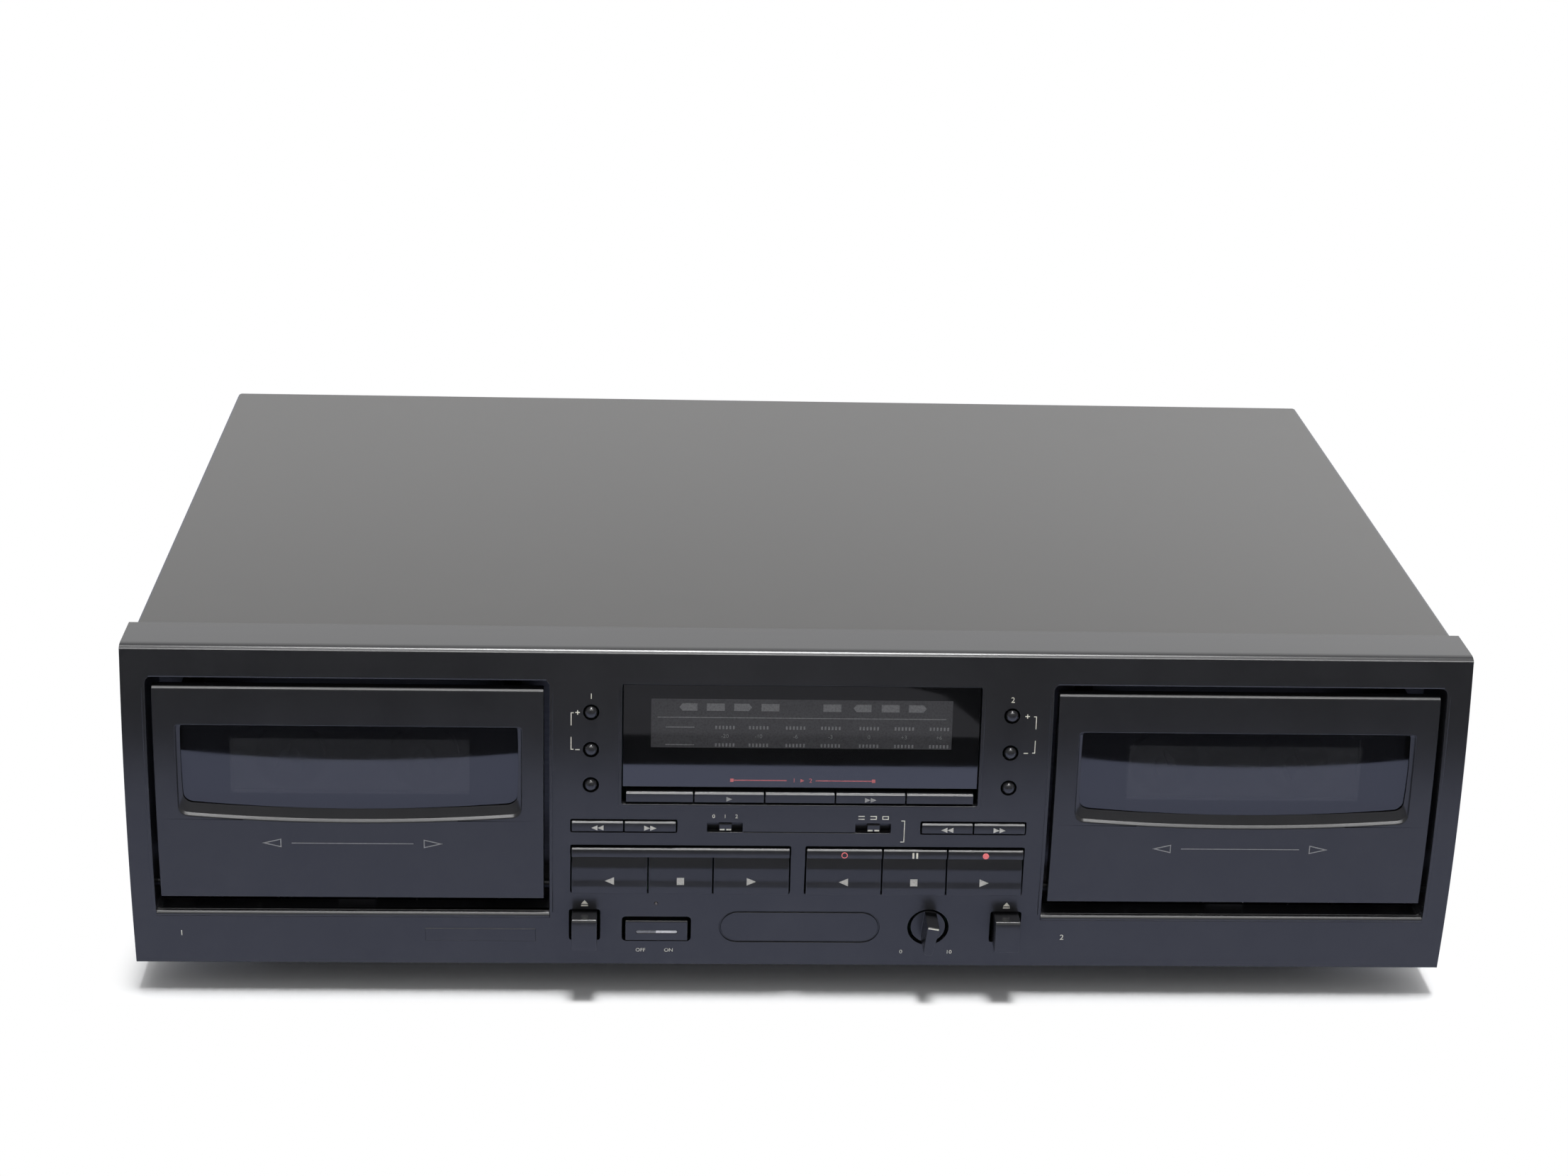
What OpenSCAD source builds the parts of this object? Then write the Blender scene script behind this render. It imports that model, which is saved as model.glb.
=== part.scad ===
// Double cassette deck: a full-width hi-fi unit with two tape wells that open on bottom hinges.
// Millimetres. +X is the right side seen from the front, +Y the back, +Z up.
// The origin lies on the table, under the middle of the overall box.
// Heights named _h are measured from the bottom edge of the front panel.

/* [Case] */
// Width of the front panel
panel_w = 420; // [410:1:440]
// Height of the front panel
panel_h = 109; // [108:0.5:116]
// Depth of the front panel's rim
panel_depth = 19; // [17:0.5:22]
// Wall of the front panel
panel_wall = 2.6; // [2.2:0.1:3]
// How far the front bulges beyond a flat face
face_sag = 3.8; // [3:0.1:4.5]
// Chamfer along the top front edge
edge_chamfer = 1.6; // [0.8:0.1:2]
// Air under the front panel
foot_h = 10; // [8:0.5:14]
// Depth from the flat of the front to the back of the cover
case_d = 262; // [250:1:290]
// Steel sheet of the case
sheet = 0.8; // [0.6:0.1:1.2]
// Step in from the panel's side to the cover's side
cover_inset = 2.3; // [1.5:0.1:3]
// Height of the cover's rear lip
cover_lip = 11; // [8:0.5:14]
// Height of the tray's side flanges
flange_h = 18; // [14:1:24]
// Foot radius
foot_r = 17; // [12:0.5:20]
// Distance from the panel's side to a foot's centre
foot_side = 40; // [30:1:60]
// Distance of the front and rear feet from the ends of the case
foot_set = 45; // [35:1:60]
// Case screw shank radius
screw_r = 1.5; // [1.2:0.1:1.8]
// Case screw head radius
screw_head_r = 3.4; // [2.8:0.1:4]

/* [Doors] */
// Face between the panel's side and a well's opening
door_margin = 7.5; // [6:0.5:9]
// Door width
door_w = 120.4; // [118:0.2:121]
// Height of the door's bottom edge
door_low_h = 23.2; // [22.6:0.2:24]
// Gap over a door
door_top_gap = 2.4; // [1.8:0.1:3]
// Gap beside a door
door_gap = 1.8; // [1.4:0.1:2]
// Height of the well's sill
sill_h = 19.6; // [18:0.2:20]
// Face between a well's opening and the panel's top edge
well_drop = 10.2; // [9:0.1:11]
// Door face behind the panel face
door_recess = 0.4; // [0.2:0.1:0.8]
// Wall of a door
door_wall = 2.4; // [2:0.1:2.6]
// Back of a door behind the flat of the front, where its holder is fixed
door_back = 2.2; // [2.1:0.1:2.6]
// Wall of a tape well
well_wall = 2; // [1.6:0.1:2.4]
// Raised rim round an opening, width
rim_w = 1; // [0.6:0.1:1.4]
// Raised rim round an opening, height
rim_out = 0.4; // [0.2:0.1:0.6]
// Height of the door hinge
hinge_h = 26; // [25.6:0.1:26.4]
// Door hinge behind the flat of the front
hinge_back = 5; // [4.8:0.1:5.4]
// Hinge pin radius
hinge_r = 1.5; // [1.2:0.1:1.6]
// Hinge boss radius
hinge_boss_r = 3.2; // [2.9:0.1:3.4]

/* [Door windows] */
// Frame beside the window recess
window_margin = 6.8; // [6.2:0.1:10]
// Frame over the window recess
window_drop = 12.9; // [11.4:0.1:16]
// Height of the recess's bottom edge at its middle
window_low_h = 51; // [50:0.5:54]
// Rise of the recess's bottom edge at its ends
window_rise = 2.3; // [1.5:0.1:3]
// Slope of the recess's bottom lip, degrees
lip_slope = 45; // [35:1:55]
// Overlap of the glass behind its frame
glass_lap = 2.2; // [1.5:0.1:2.4]
// Thickness of the glass
glass_t = 2; // [1.5:0.1:2.2]
// Width of the view hole in the holder's plate
view_w = 74; // [60:1:80]

/* [Tape wells] */
// Width of a cassette space
tape_w = 102; // [101.5:0.1:102.5]
// Height of a cassette's bottom edge
tape_low_h = 28.5; // [28.2:0.1:29]
// Distance from the door's top edge down to the end of the holder's channels
channel_drop = 3.9; // [3:0.1:5]
// Depth of a cassette space
tape_t = 13.4; // [13:0.1:14]
// Wall of the cassette holder
holder_wall = 1.6; // [1.2:0.1:1.8]
// Depth of the mechanism plate behind the flat of the front
plate_back = 25; // [24.5:0.1:26]
// Thickness of the mechanism plate
plate_t = 1.6; // [1.2:0.1:2]
// Half distance between reel spindles
reel_half = 21.25; // [21:0.05:21.5]
// Height of the reel axes above the cassette's bottom edge
reel_rise = 34.4; // [34:0.1:35]
// Half distance between capstans
capstan_half = 33; // [32.5:0.1:33.5]
// Height of the capstans above the cassette's bottom edge
capstan_rise = 5; // [4.5:0.1:5.5]
// Capstan radius
capstan_r = 1.2; // [1:0.05:1.4]
// Reel shaft radius
reel_shaft_r = 1; // [0.8:0.05:1.2]
// Running clearance of shafts
running = 0.05; // [0.03:0.01:0.08]
// Flywheel radius
flywheel_r = 22; // [19:0.5:23]
// Motor radius
motor_r = 15; // [13:0.5:16]
// Height of the motor's axis
motor_h = 79; // [78:0.5:82]
// Motor pulley radius
pulley_r = 5; // [4:0.5:6]
// Length of the capstan bearings and motors behind the plate
bearing_l = 20; // [18:0.5:24]
// Flywheel thickness
flywheel_t = 6; // [5:0.5:8]

/* [Display and keys] */
// Face between a well's opening and the display opening
display_side = 22.5; // [21.5:0.1:24.5]
// Height of the display opening's bottom edge
display_low_h = 58.5; // [58:0.1:59]
// Face between the display opening and the panel's top edge
display_drop = 11; // [10:0.1:12]
// Gap between the copy keys and the display glass
glass_gap = 1.1; // [0.9:0.1:2]
// Height of the copy keys
copy_key_tall = 4; // [3.4:0.1:4.2]
// Gap round a key
key_gap = 0.4; // [0.3:0.05:0.5]
// Key travel
key_travel = 1.5; // [0.8:0.1:1.8]
// Inner edge of the key groups
group_in = 2.7; // [2.4:0.1:3.2]
// Face between a well's opening and the outer edge of the key groups
group_side = 7; // [6.5:0.1:8.5]
// Width of a middle key
middle_key_w = 20.6; // [18:0.1:24]
// Height of the main keys' bottom edge
main_low_h = 27.2; // [26.4:0.1:28]
// Face between the winding keys and the strip's top edge
strip_drop = 5.3; // [4.6:0.1:6]
// Height of the strip over the main keys
strip_tall = 3.6; // [3:0.1:5]
// Inner edge of the winding keys
wind_in = 38.8; // [36:0.1:41]
// Face between the display opening and the winding keys
wind_drop = 5.9; // [5:0.1:6.4]
// Height of the winding keys
wind_tall = 3.7; // [3:0.1:4.4]
// Distance from a well's opening to the round buttons
round_side = 12.9; // [12.5:0.1:13.4]
// Heights of the round buttons
round_h = [88.8, 76.6, 64.8];
// Round button radius
round_r = 2.1; // [1.8:0.1:2.4]
// Distance from a well's opening to the eject button beside it
eject_side = 11.1; // [10.7:0.1:11.5]
// Eject button width
eject_w = 9; // [7:0.1:9.4]
// Height of the eject buttons' bottom edge
eject_low_h = 9.6; // [9:0.1:11]
// Height of the eject buttons' top edge
eject_high_h = 20.2; // [18:0.1:21]
// How far the eject buttons stand out, less than the knob's grip
eject_out = 8; // [5:0.1:9]
// Eject button travel
eject_travel = 3; // [2:0.1:3.4]
// Distance from the left eject button to the power button
power_pitch = 22.8; // [21.4:0.1:24.4]
// Power button width
power_w = 20.6; // [16:0.1:22]
// Height of the power button's bottom edge
power_low_h = 9.2; // [8.5:0.1:10]
// Height of the power button's top edge
power_high_h = 17.8; // [15:0.1:19]
// Power button travel
power_travel = 2.5; // [1.5:0.1:3]
// How far the power button stands out
power_out = 0.3; // [0:0.1:2]
// Distance from the middle to the slide switches
slider_x = 23.4; // [21:0.1:26]
// Distance from the winding keys' top edge down to the slide switches
slider_drop = 2.1; // [1.6:0.1:2.8]
// Slider width
slider_w = 4; // [3:0.1:4.6]
// Slider height
slider_tall = 2.6; // [2:0.1:3]
// Slider travel each way
slider_travel = 3.2; // [2:0.1:3.4]
// Distance from the right eject button to the level knob
knob_pitch = 24.8; // [23.4:0.1:26.4]
// Height of the level knob
knob_h = 14.6; // [13:0.1:16]
// Level knob radius
knob_r = 6.2; // [5.4:0.1:6.6]
// How far the knob's grip stands out
knob_out = 10; // [6:0.1:11]
// Length of the knob's grip
grip_l = 10; // [8:0.1:12]
// Width of the knob's grip
grip_w = 3.9; // [3:0.1:4.5]
// Turn of the grip at rest, degrees clockwise
grip_turn = 9; // [0:1:20]
// Potentiometer shaft radius
pot_r = 3; // [2:0.1:3.2]

/* [Boards and sockets] */
// Front of the key board behind the flat of the front
board_back = 14; // [13.8:0.1:15]
// Thickness of a circuit board
board_t = 1.6; // [1.2:0.1:2]
// Height of a key switch
switch_t = 3; // [2.6:0.1:3.2]
// Phono jack radius
jack_r = 4.15; // [4:0.05:4.2]
// Phono jack length outside the rear panel
jack_out = 8; // [7:0.1:9]
// Clearance of the rear panel's holes round the phono jacks
jack_clear = 0.6; // [0.5:0.1:1]
// Distance between phono jacks
jack_pitch = 14; // [12:0.1:16]
// Height of the lower row of jacks
jack_h = 24; // [20:0.5:30]
// Distance from the cover's side to the first column of jacks
jack_side = 87.7; // [67.7:1:127.7]
// Bore of the cord gland
gland_r = 3.2; // [2.6:0.1:3.6]
// Distance from the cover's side to the cord gland
gland_side = 47.7; // [27.7:1:67.7]

/* [Hidden] */

$fn = 48;
// Steps of the large arcs, which are nearly flat
arc_steps = 480;
// A little past a face, so that cuts go right through
past = 1;
// Air between a press fit's two faces
press_gap = 0.02;
// Air between fixed pieces, and between a moving piece and its stop
air = 0.3;

// Radius of the bulged front
face_r = (panel_h * panel_h / 4 + face_sag * face_sag) / (2 * face_sag);
// The flat of the front, placed so that the overall box is centred on the origin
front_y = (bulge(knob_h) + knob_out - case_d - jack_out) / 2;
top_z = foot_h + panel_h;
// Top face of the front panel's floor, on which the tray lies
tray_z = foot_h + panel_wall;
floor_z = tray_z + sheet;
cover_half = panel_w / 2 - cover_inset;
// Top of the cover, just under the panel's
cover_drop = 0.1;
cover_z = top_z - cover_drop;

// The wells, and the field of keys between them
opening_w = door_w + 2 * door_gap;
door_x = panel_w / 2 - door_margin - opening_w / 2;
well_in = door_x - opening_w / 2;
lintel_h = panel_h - well_drop;
door_high_h = lintel_h - door_top_gap;
sill_depth = 6;
window_w = door_w - 2 * window_margin;
window_top_h = door_high_h - window_drop;
smile_r = pow(window_w / 2, 2) / (2 * window_rise * cos(lip_slope));
view_h = [59, 80];
holder_back = door_back + holder_wall + tape_t;
channel_lip = 4;
channel_shelf = 10;
pin_reach = 7;

display_half = well_in - display_side;
display_high_h = panel_h - display_drop;
display_glass_h = display_low_h + key_gap + copy_key_tall + glass_gap;
wind_high_h = display_low_h - wind_drop;
wind_low_h = wind_high_h - wind_tall;
strip_high_h = wind_low_h - strip_drop;
strip_low_h = strip_high_h - strip_tall;
group_out = well_in - group_side;
group_mid = (group_in + group_out) / 2;
copy_pitch = (2 * display_half - 2 * key_gap) / 5;
round_x = well_in - round_side;
eject_x = well_in - eject_side;
power_x = power_pitch - eject_x;
slider_h = wind_high_h - slider_drop;
knob_x = eject_x - knob_pitch;
knob_y = -bulge(knob_h);

// Keys: their backs, the lugs that keep them in, and their stems
key_back = 4;
lug_t = 1.2;
lug_reach = 1;
lug_inset = 1;
switch_gap = 0.2;
stem_end = board_back - switch_t - key_travel - switch_gap;
stem_r = 1.3;
key_bevel = 0.8;
strip_out = 1.1;
wind_out = 0.8;
copy_out = 0.3;
round_out = 0.8;
slider_out = 2.4;
blade_t = 1.4;
display_recess = 0.8;
// The face of a main key from its bottom to its top: share of its height, how far it stands out
main_profile = [[0, 1.3], [0.24, 1.2], [0.5, 0.5], [0.75, 0.2], [1, -0.6]];
// Stem of the keys that do nothing, which rest on the key board
blank_stem = board_back;
knob_back = 2.5;

// The key board, its posts and what is soldered to it
board_edge = 3.5;
board_high_h = panel_h - board_edge;
board_gap = 1.5;
board_half = well_in - well_wall - board_gap;
post_r = 2.4;
post_low_r = 1.4;
post_edge = 5;
post_side = 2.5;
post_x = display_half + post_side;
middle_post_drop = 3.3;
// Posts that carry the key board: distance from the middle, height, radius
posts = [
    [-post_x, panel_h - post_edge, post_r], [post_x, panel_h - post_edge, post_r],
    [-post_x, post_edge, post_low_r], [post_x, post_edge, post_low_r],
    [0, display_low_h - middle_post_drop, post_r], [0, panel_h - post_edge, post_r]
];
switch_half = [3, 2.4];
slide_half = [9, 3.4];
slide_body = 8;
pot_floor = 2;
pot_can = [5, 6];
pot_neck = [1.5, 9];
tube_side = 8;
tube_low = 8;
tube_high = 2;
tube_t = 8;

// Case screws
screw_end = 47;
screw_y = [60, case_d - screw_end];
screw_h = 12;
screw_head_t = 1.8;
lip_screw_side = 57.7;
lip_screw_x = cover_half - lip_screw_side;
// How far the tray reaches over the front panel's floor
tray_lap = 2.5;

// Tape mechanism
// Where the tips of the reel spindles and capstans end, clear of the cassette's front
tip_y = 9.6;
tip_cap = 2;
reel_h = tape_low_h + reel_rise;
reel_table_r = 11;
reel_table_t = 4.1;
reel_post_r = 3.2;
fin_w = 1.2;
fin_out = 1.4;
fin_back = 1;
capstan_h = tape_low_h + capstan_rise;
capstan_tail = 2;
plate_low_h = 6;
bearing_r = 4.2;
bearing_nose = 2;
bearing_end = plate_back + plate_t + bearing_l;
flywheel_gap = 1.4;
flywheel_y = bearing_end + flywheel_gap;
motor_shaft_r = 1;
belt_t = 1.2;
belt_w = 3;
head_gap = 1.5;
head_top_h = tape_low_h - head_gap;
head_w = 12;
base_half = 44;
base_h = [9, 16];
base_t = 6;
roller_r = 5;
roller_t = 7;
roller_pin_r = 1;
roller_arm = [5, 3];
roller_h = capstan_h - capstan_r - air - roller_r;

// Rear panel
jack_x = cover_half - jack_side;
jack_y = case_d + jack_out;
jack_block = 8;
jack_bore = 1.6;
gland_x = gland_side - cover_half;
gland_wall = 1.8;
gland_body_r = gland_r + gland_wall;
gland_lip = 1.6;
gland_flange_r = gland_body_r + gland_lip;
gland_flange_t = 2.4;
gland_tail = 5;

// The main board, its posts and the transformer stand on the tray
main_post_h = 9;
main_post_r = 3;
main_board_z = floor_z + main_post_h;
main_board_size = [226, 122];
main_board_side = 21.7;
main_board_end = 18;
main_board_x = cover_half - main_board_side - main_board_size[0];
main_board_y = case_d - main_board_end - main_board_size[1];
board_inset = 8;
// Capacitors: first place, pitch, radius, height
capacitor_at = [20, 100];
capacitor_pitch = 14;
capacitor_r = 5;
capacitor_h = 20;
// Chips: first place, pitch, size
chip_at = [52, 29];
chip_pitch = 60;
chip_size = [28, 12, 4];
sink_at = [14, 24];
sink_size = [4, 50, 35];
transformer_side = 59.7;
transformer_end = 84;
transformer_x = transformer_side - cover_half;
transformer_y = case_d - transformer_end;
// Mounting plate, iron core and winding of the transformer, and the winding's height over the tray
transformer_plate = [76, 28, 2];
core_size = [58, 44, 49];
coil_size = [36, 64, 29];
coil_rise = 10;

// How far the front stands beyond its flat at a height
function bulge(h) = sqrt(face_r * face_r - pow(h - panel_h / 2, 2)) - face_r + face_sag;
// World height and depth from the panel's own measures
function up(h) = foot_h + h;
function back(d) = front_y + d;
function face_y(h, out = 0) = front_y - bulge(h) - out;
// Left edge and right edge of key i of a group, from its outer edge inwards
function key_span(side, i) =
    let (mid = side * group_mid, half = middle_key_w / 2, outer = (group_out - group_in) / 2)
    i == 0 ? [mid - outer, mid - half - key_gap / 2] :
    i == 1 ? [mid - half + key_gap / 2, mid + half - key_gap / 2] :
    [mid + half + key_gap / 2, mid + outer];
function middle(s) = (s[0] + s[1]) / 2;
// Front of a lug that lies behind the panel's wall at a height
function lug_front(h) = max(0, panel_wall - bulge(h)) + air;
function wind_span(side, i) =
    let (a = side > 0 ? wind_in : -group_out, b = side > 0 ? group_out : -wind_in, m = (a + b) / 2)
    i == 0 ? [a, m - key_gap / 2] : [m + key_gap / 2, b];
function copy_span(i) =
    let (a = -display_half + key_gap + i * copy_pitch)
    [a + (i > 0 ? key_gap / 2 : 0), a + copy_pitch - (i < 4 ? key_gap / 2 : 0)];

module span(x, y, z) {
    translate([x[0], y[0], z[0]]) cube([x[1] - x[0], y[1] - y[0], z[1] - z[0]]);
}

// A round bar along Y from one depth to another
module bar_y(x, h, r, d) {
    translate([x, back(d[0]), up(h)]) rotate([-90, 0, 0]) cylinder(r = r, h = d[1] - d[0]);
}

// Everything behind the bulged front, moved forwards by out
module behind_face(out = 0) {
    translate([0, front_y - face_sag + face_r, up(panel_h / 2)]) rotate([0, 90, 0])
        cylinder(r = face_r + out, h = panel_w + 2 * past, center = true, $fn = arc_steps);
}

// A block that ends at the bulged front
module face_block(x, h, d, out = 0) {
    intersection() {
        span(x, [front_y - face_sag - knob_out, back(d)], [up(h[0]), up(h[1])]);
        behind_face(out);
    }
}

// A cut right through the front wall
module face_cut(x, h, d = key_back) {
    span(x, [front_y - face_sag - past, back(d)], [up(h[0]), up(h[1])]);
}

// Walls of one tape well, with a short floor behind the sill
module well_walls(side) {
    wide = opening_w / 2 + well_wall;
    x = side * door_x;
    difference() {
        span([x - wide, x + wide], [back(0), back(plate_back)],
            [up(sill_h) - well_wall, up(lintel_h) + well_wall]);
        span([x - wide - past, x + wide + past], [back(sill_depth), back(plate_back) + past],
            [up(sill_h) - well_wall - past, up(sill_h) + past]);
    }
}

module well_cuts(side) {
    x = side * door_x;
    face_cut([x - opening_w / 2, x + opening_w / 2], [sill_h, lintel_h], plate_back + past);
    hinge_bars(side, hinge_r + press_gap, 1, well_wall + past);
}

// Round bars on the hinge axis, reaching inwards and outwards from the inside of the well's walls
module hinge_bars(side, r, inwards, outwards) {
    for (s = [-1, 1])
        translate([side * door_x + s * (opening_w / 2 - inwards), back(hinge_back), up(hinge_h)])
            rotate([0, s * 90, 0]) cylinder(r = r, h = inwards + outwards);
}

module opening_rim(x, h) {
    face_block([x[0] - rim_w, x[1] + rim_w], [h[0] - rim_w, h[1] + rim_w], 0, rim_out);
}

module front_panel() color("#24262b") difference() {
    union() {
        difference() {
            face_block([-panel_w / 2, panel_w / 2], [0, panel_h], panel_depth);
            intersection() {
                span([-panel_w / 2 + panel_wall, panel_w / 2 - panel_wall],
                    [front_y - face_sag, back(panel_depth) + past], [tray_z, top_z - panel_wall]);
                behind_face(-panel_wall);
            }
        }
        for (s = [-1, 1]) {
            well_walls(s);
            opening_rim([s * door_x - opening_w / 2, s * door_x + opening_w / 2], [sill_h, lintel_h]);
        }
        opening_rim([-display_half, display_half], [display_low_h, display_high_h]);
        for (p = posts) bar_y(p[0], p[1], p[2], [panel_wall / 2 - bulge(p[1]), board_back]);
    }
    translate([0, face_y(panel_h), top_z]) rotate([45, 0, 0])
        cube([panel_w + 2 * past, edge_chamfer * sqrt(2), edge_chamfer * sqrt(2)], center = true);
    for (s = [-1, 1]) {
        well_cuts(s);
        face_cut([s * group_mid - (group_out - group_in) / 2 - key_gap,
            s * group_mid + (group_out - group_in) / 2 + key_gap],
            [main_low_h - key_gap, strip_high_h + key_gap]);
        face_cut([wind_span(s, 0)[0] - key_gap, wind_span(s, 1)[1] + key_gap],
            [wind_low_h - key_gap, wind_high_h + key_gap]);
        for (h = round_h) bar_y(s * round_x, h, round_r + key_gap, [-face_sag - past, key_back]);
        face_cut([s * eject_x - eject_w / 2 - key_gap, s * eject_x + eject_w / 2 + key_gap],
            [eject_low_h - key_gap, eject_high_h + key_gap]);
        face_cut([s * slider_x - slider_w / 2 - slider_travel - key_gap,
            s * slider_x + slider_w / 2 + slider_travel + key_gap],
            [slider_h - slider_tall / 2 - key_gap, slider_h + slider_tall / 2 + key_gap]);
    }
    face_cut([-display_half, display_half], [display_low_h, display_high_h]);
    face_cut([power_x - power_w / 2 - key_gap, power_x + power_w / 2 + key_gap],
        [power_low_h - key_gap, power_high_h + key_gap]);
    bar_y(knob_x, knob_h, knob_r + key_gap, [-face_sag - past, key_back]);
}

// Holes for the case screws, or their shanks
module screw_shanks(r, deep) {
    for (s = [-1, 1], y = screw_y)
        translate([s * cover_half, back(y), tray_z + screw_h]) rotate([0, -s * 90, 0])
            cylinder(r = r, h = deep);
    for (x = [-lip_screw_x, 0, lip_screw_x])
        translate([x, back(case_d), top_z - cover_lip / 2]) rotate([90, 0, 0])
            cylinder(r = r, h = deep);
}

module top_cover() color("#5b5b5d") difference() {
    span([-cover_half, cover_half], [back(panel_depth), back(case_d)], [tray_z, cover_z]);
    span([-cover_half + sheet, cover_half - sheet], [back(panel_depth) - past, back(case_d) - sheet],
        [tray_z - past, cover_z - sheet]);
    span([-cover_half + sheet, cover_half - sheet], [back(case_d) - sheet - past, back(case_d) + past],
        [tray_z - past, top_z - cover_lip]);
    screw_shanks(screw_r + running, 2 * sheet);
}

module main_board_posts() {
    far = main_board_size - [board_inset, board_inset];
    for (x = [board_inset, far[0]], y = [board_inset, far[1]])
        translate([main_board_x + x, back(main_board_y + y), tray_z])
            cylinder(r = main_post_r, h = main_board_z - tray_z);
}

module bottom_chassis() color("#8d9194") difference() {
    half = cover_half - sheet;
    union() {
        span([-half, half], [back(panel_depth - tray_lap), back(case_d - sheet)], [tray_z, floor_z]);
        for (x = [-half, half - sheet])
            span([x, x + sheet], [back(panel_depth), back(case_d - 2 * sheet)],
                [tray_z, tray_z + flange_h]);
        main_board_posts();
    }
    screw_shanks(screw_r + running, 3 * sheet);
}

// The four jack positions on the rear panel
module at_jacks() {
    for (i = [0, 1], j = [0, 1])
        translate([jack_x + i * jack_pitch, 0, up(jack_h + j * jack_pitch)]) rotate([-90, 0, 0]) children();
}

module rear_panel() color("#3a3b3d") difference() {
    half = cover_half - sheet - air;
    span([-half, half], [back(case_d - 2 * sheet), back(case_d - sheet)],
        [floor_z, cover_z - sheet - air]);
    at_jacks() translate([0, 0, back(0)]) cylinder(r = jack_r + jack_clear, h = case_d);
    bar_y(gland_x, jack_h, gland_body_r + press_gap, [0, case_d]);
    screw_shanks(screw_r + running, 3 * sheet);
}

module feet() color("#1b1b1c") {
    for (x = [foot_side - panel_w / 2, panel_w / 2 - foot_side], y = [foot_set, case_d - foot_set])
        translate([x, back(y), 0]) cylinder(r = foot_r, h = tray_z);
}

module cover_screws() color("#2b2b2d") {
    screw_shanks(screw_r, 2.5 * sheet);
    for (s = [-1, 1], y = screw_y)
        translate([s * cover_half, back(y), tray_z + screw_h]) rotate([0, s * 90, 0])
            cylinder(r = screw_head_r, h = screw_head_t);
    for (x = [-lip_screw_x, 0, lip_screw_x])
        translate([x, back(case_d), top_z - cover_lip / 2]) rotate([-90, 0, 0])
            cylinder(r = screw_head_r, h = screw_head_t);
}

module display_window() color("#15161a") difference() {
    face_block([-display_half + air, display_half - air], [display_glass_h, display_high_h - air], key_back,
        -display_recess);
    behind_face(-display_recess - glass_t);
}

module display_module() color("#4a4d55") {
    span([tube_side - display_half, display_half - tube_side], [back(board_back - tube_t), back(board_back)],
        [up(display_glass_h + tube_low), up(display_high_h - tube_high)]);
}

// A key between two side edges: pts gives heights and how far the face stands out, from the bottom up
module profile_key(x, pts, stem_to, lug_up = true, lug_down = true) {
    low = pts[0][0];
    high = pts[len(pts) - 1][0];
    front = [for (p = pts) [face_y(p[0], p[1]), up(p[0])]];
    translate([x[0], 0, 0]) rotate([90, 0, 90]) linear_extrude(x[1] - x[0])
        polygon(concat([[back(key_back), up(low)]], front, [[back(key_back), up(high)]]));
    lug_x = x + [lug_inset, -lug_inset];
    top_y = back(lug_front(high + lug_reach));
    low_y = back(lug_front(low - lug_reach));
    if (lug_up) span(lug_x, [top_y, top_y + lug_t], [up(high) - past, up(high) + lug_reach]);
    if (lug_down) span(lug_x, [low_y, low_y + lug_t], [up(low) - lug_reach, up(low) + past]);
    if (stem_to > 0) bar_y(middle(x), (low + high) / 2, stem_r, [key_back - past, stem_to]);
}

// A low key with a bevelled top edge
module bevel_key(x, h, out, stem_to, lug_up = true, lug_down = true) {
    profile_key(x, [[h[0], out], [h[1] - key_bevel, out], [h[1], out - key_bevel]], stem_to,
        lug_up, lug_down);
}

// One of the three main keys of a group, scooped below the strip and swelling towards its bottom
module main_key(side, i) color("#26282d") {
    high = strip_low_h - key_gap / 2;
    tall = high - main_low_h;
    profile_key(key_span(side, i), [for (p = main_profile) [main_low_h + p[0] * tall, p[1]]],
        stem_end, lug_up = false);
}

module strip_key(x, stem_to) {
    bevel_key(x, [strip_low_h + key_gap / 2, strip_high_h], strip_out, stem_to, lug_down = false);
}

module copy_key(i, stem_to) {
    bevel_key(copy_span(i), [display_low_h + key_gap, display_low_h + key_gap + copy_key_tall], copy_out,
        stem_to, lug_up = false);
}

module wind_key(side, i) color("#26282d") {
    bevel_key(wind_span(side, i), [wind_low_h, wind_high_h], wind_out, stem_end);
}

module blank_keys() color("#26282d") {
    strip_key([key_span(-1, 0)[0], key_span(-1, 2)[1]], blank_stem);
    for (i = [0, 2, 4]) copy_key(i, blank_stem);
}

module round_button(side, i) color("#202226") {
    h = round_h[i];
    bar_y(side * round_x, h, round_r, [-bulge(h) - round_out, stem_end]);
    lug_r = round_r + lug_reach;
    lug_y = max(lug_front(h - lug_r), lug_front(h + lug_r));
    bar_y(side * round_x, h, lug_r, [lug_y, lug_y + lug_t]);
}

module eject_button(side) color("#202226") {
    profile_key([side * eject_x - eject_w / 2, side * eject_x + eject_w / 2],
        [[eject_low_h, eject_out], [eject_high_h, eject_out]], board_back - eject_travel - air);
}

module power_button() color("#26282d") {
    profile_key([power_x - power_w / 2, power_x + power_w / 2],
        [[power_low_h, power_out], [power_high_h, power_out]],
        board_back - switch_t - power_travel - air);
}

module slider(side) color("#202226") {
    x = side * slider_x;
    half = slider_w / 2 + 2 * slider_travel + key_gap;
    span([x - slider_w / 2, x + slider_w / 2], [face_y(slider_h, slider_out), back(0)],
        [up(slider_h - slider_tall / 2), up(slider_h + slider_tall / 2)]);
    span([x - half, x + half], [back(-blade_t / 2), back(blade_t / 2)],
        [up(slider_h - slider_tall / 2 - lug_reach), up(slider_h + slider_tall / 2 + lug_reach)]);
    bar_y(x, slider_h, stem_r, [0, board_back - slide_body - air]);
}

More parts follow.
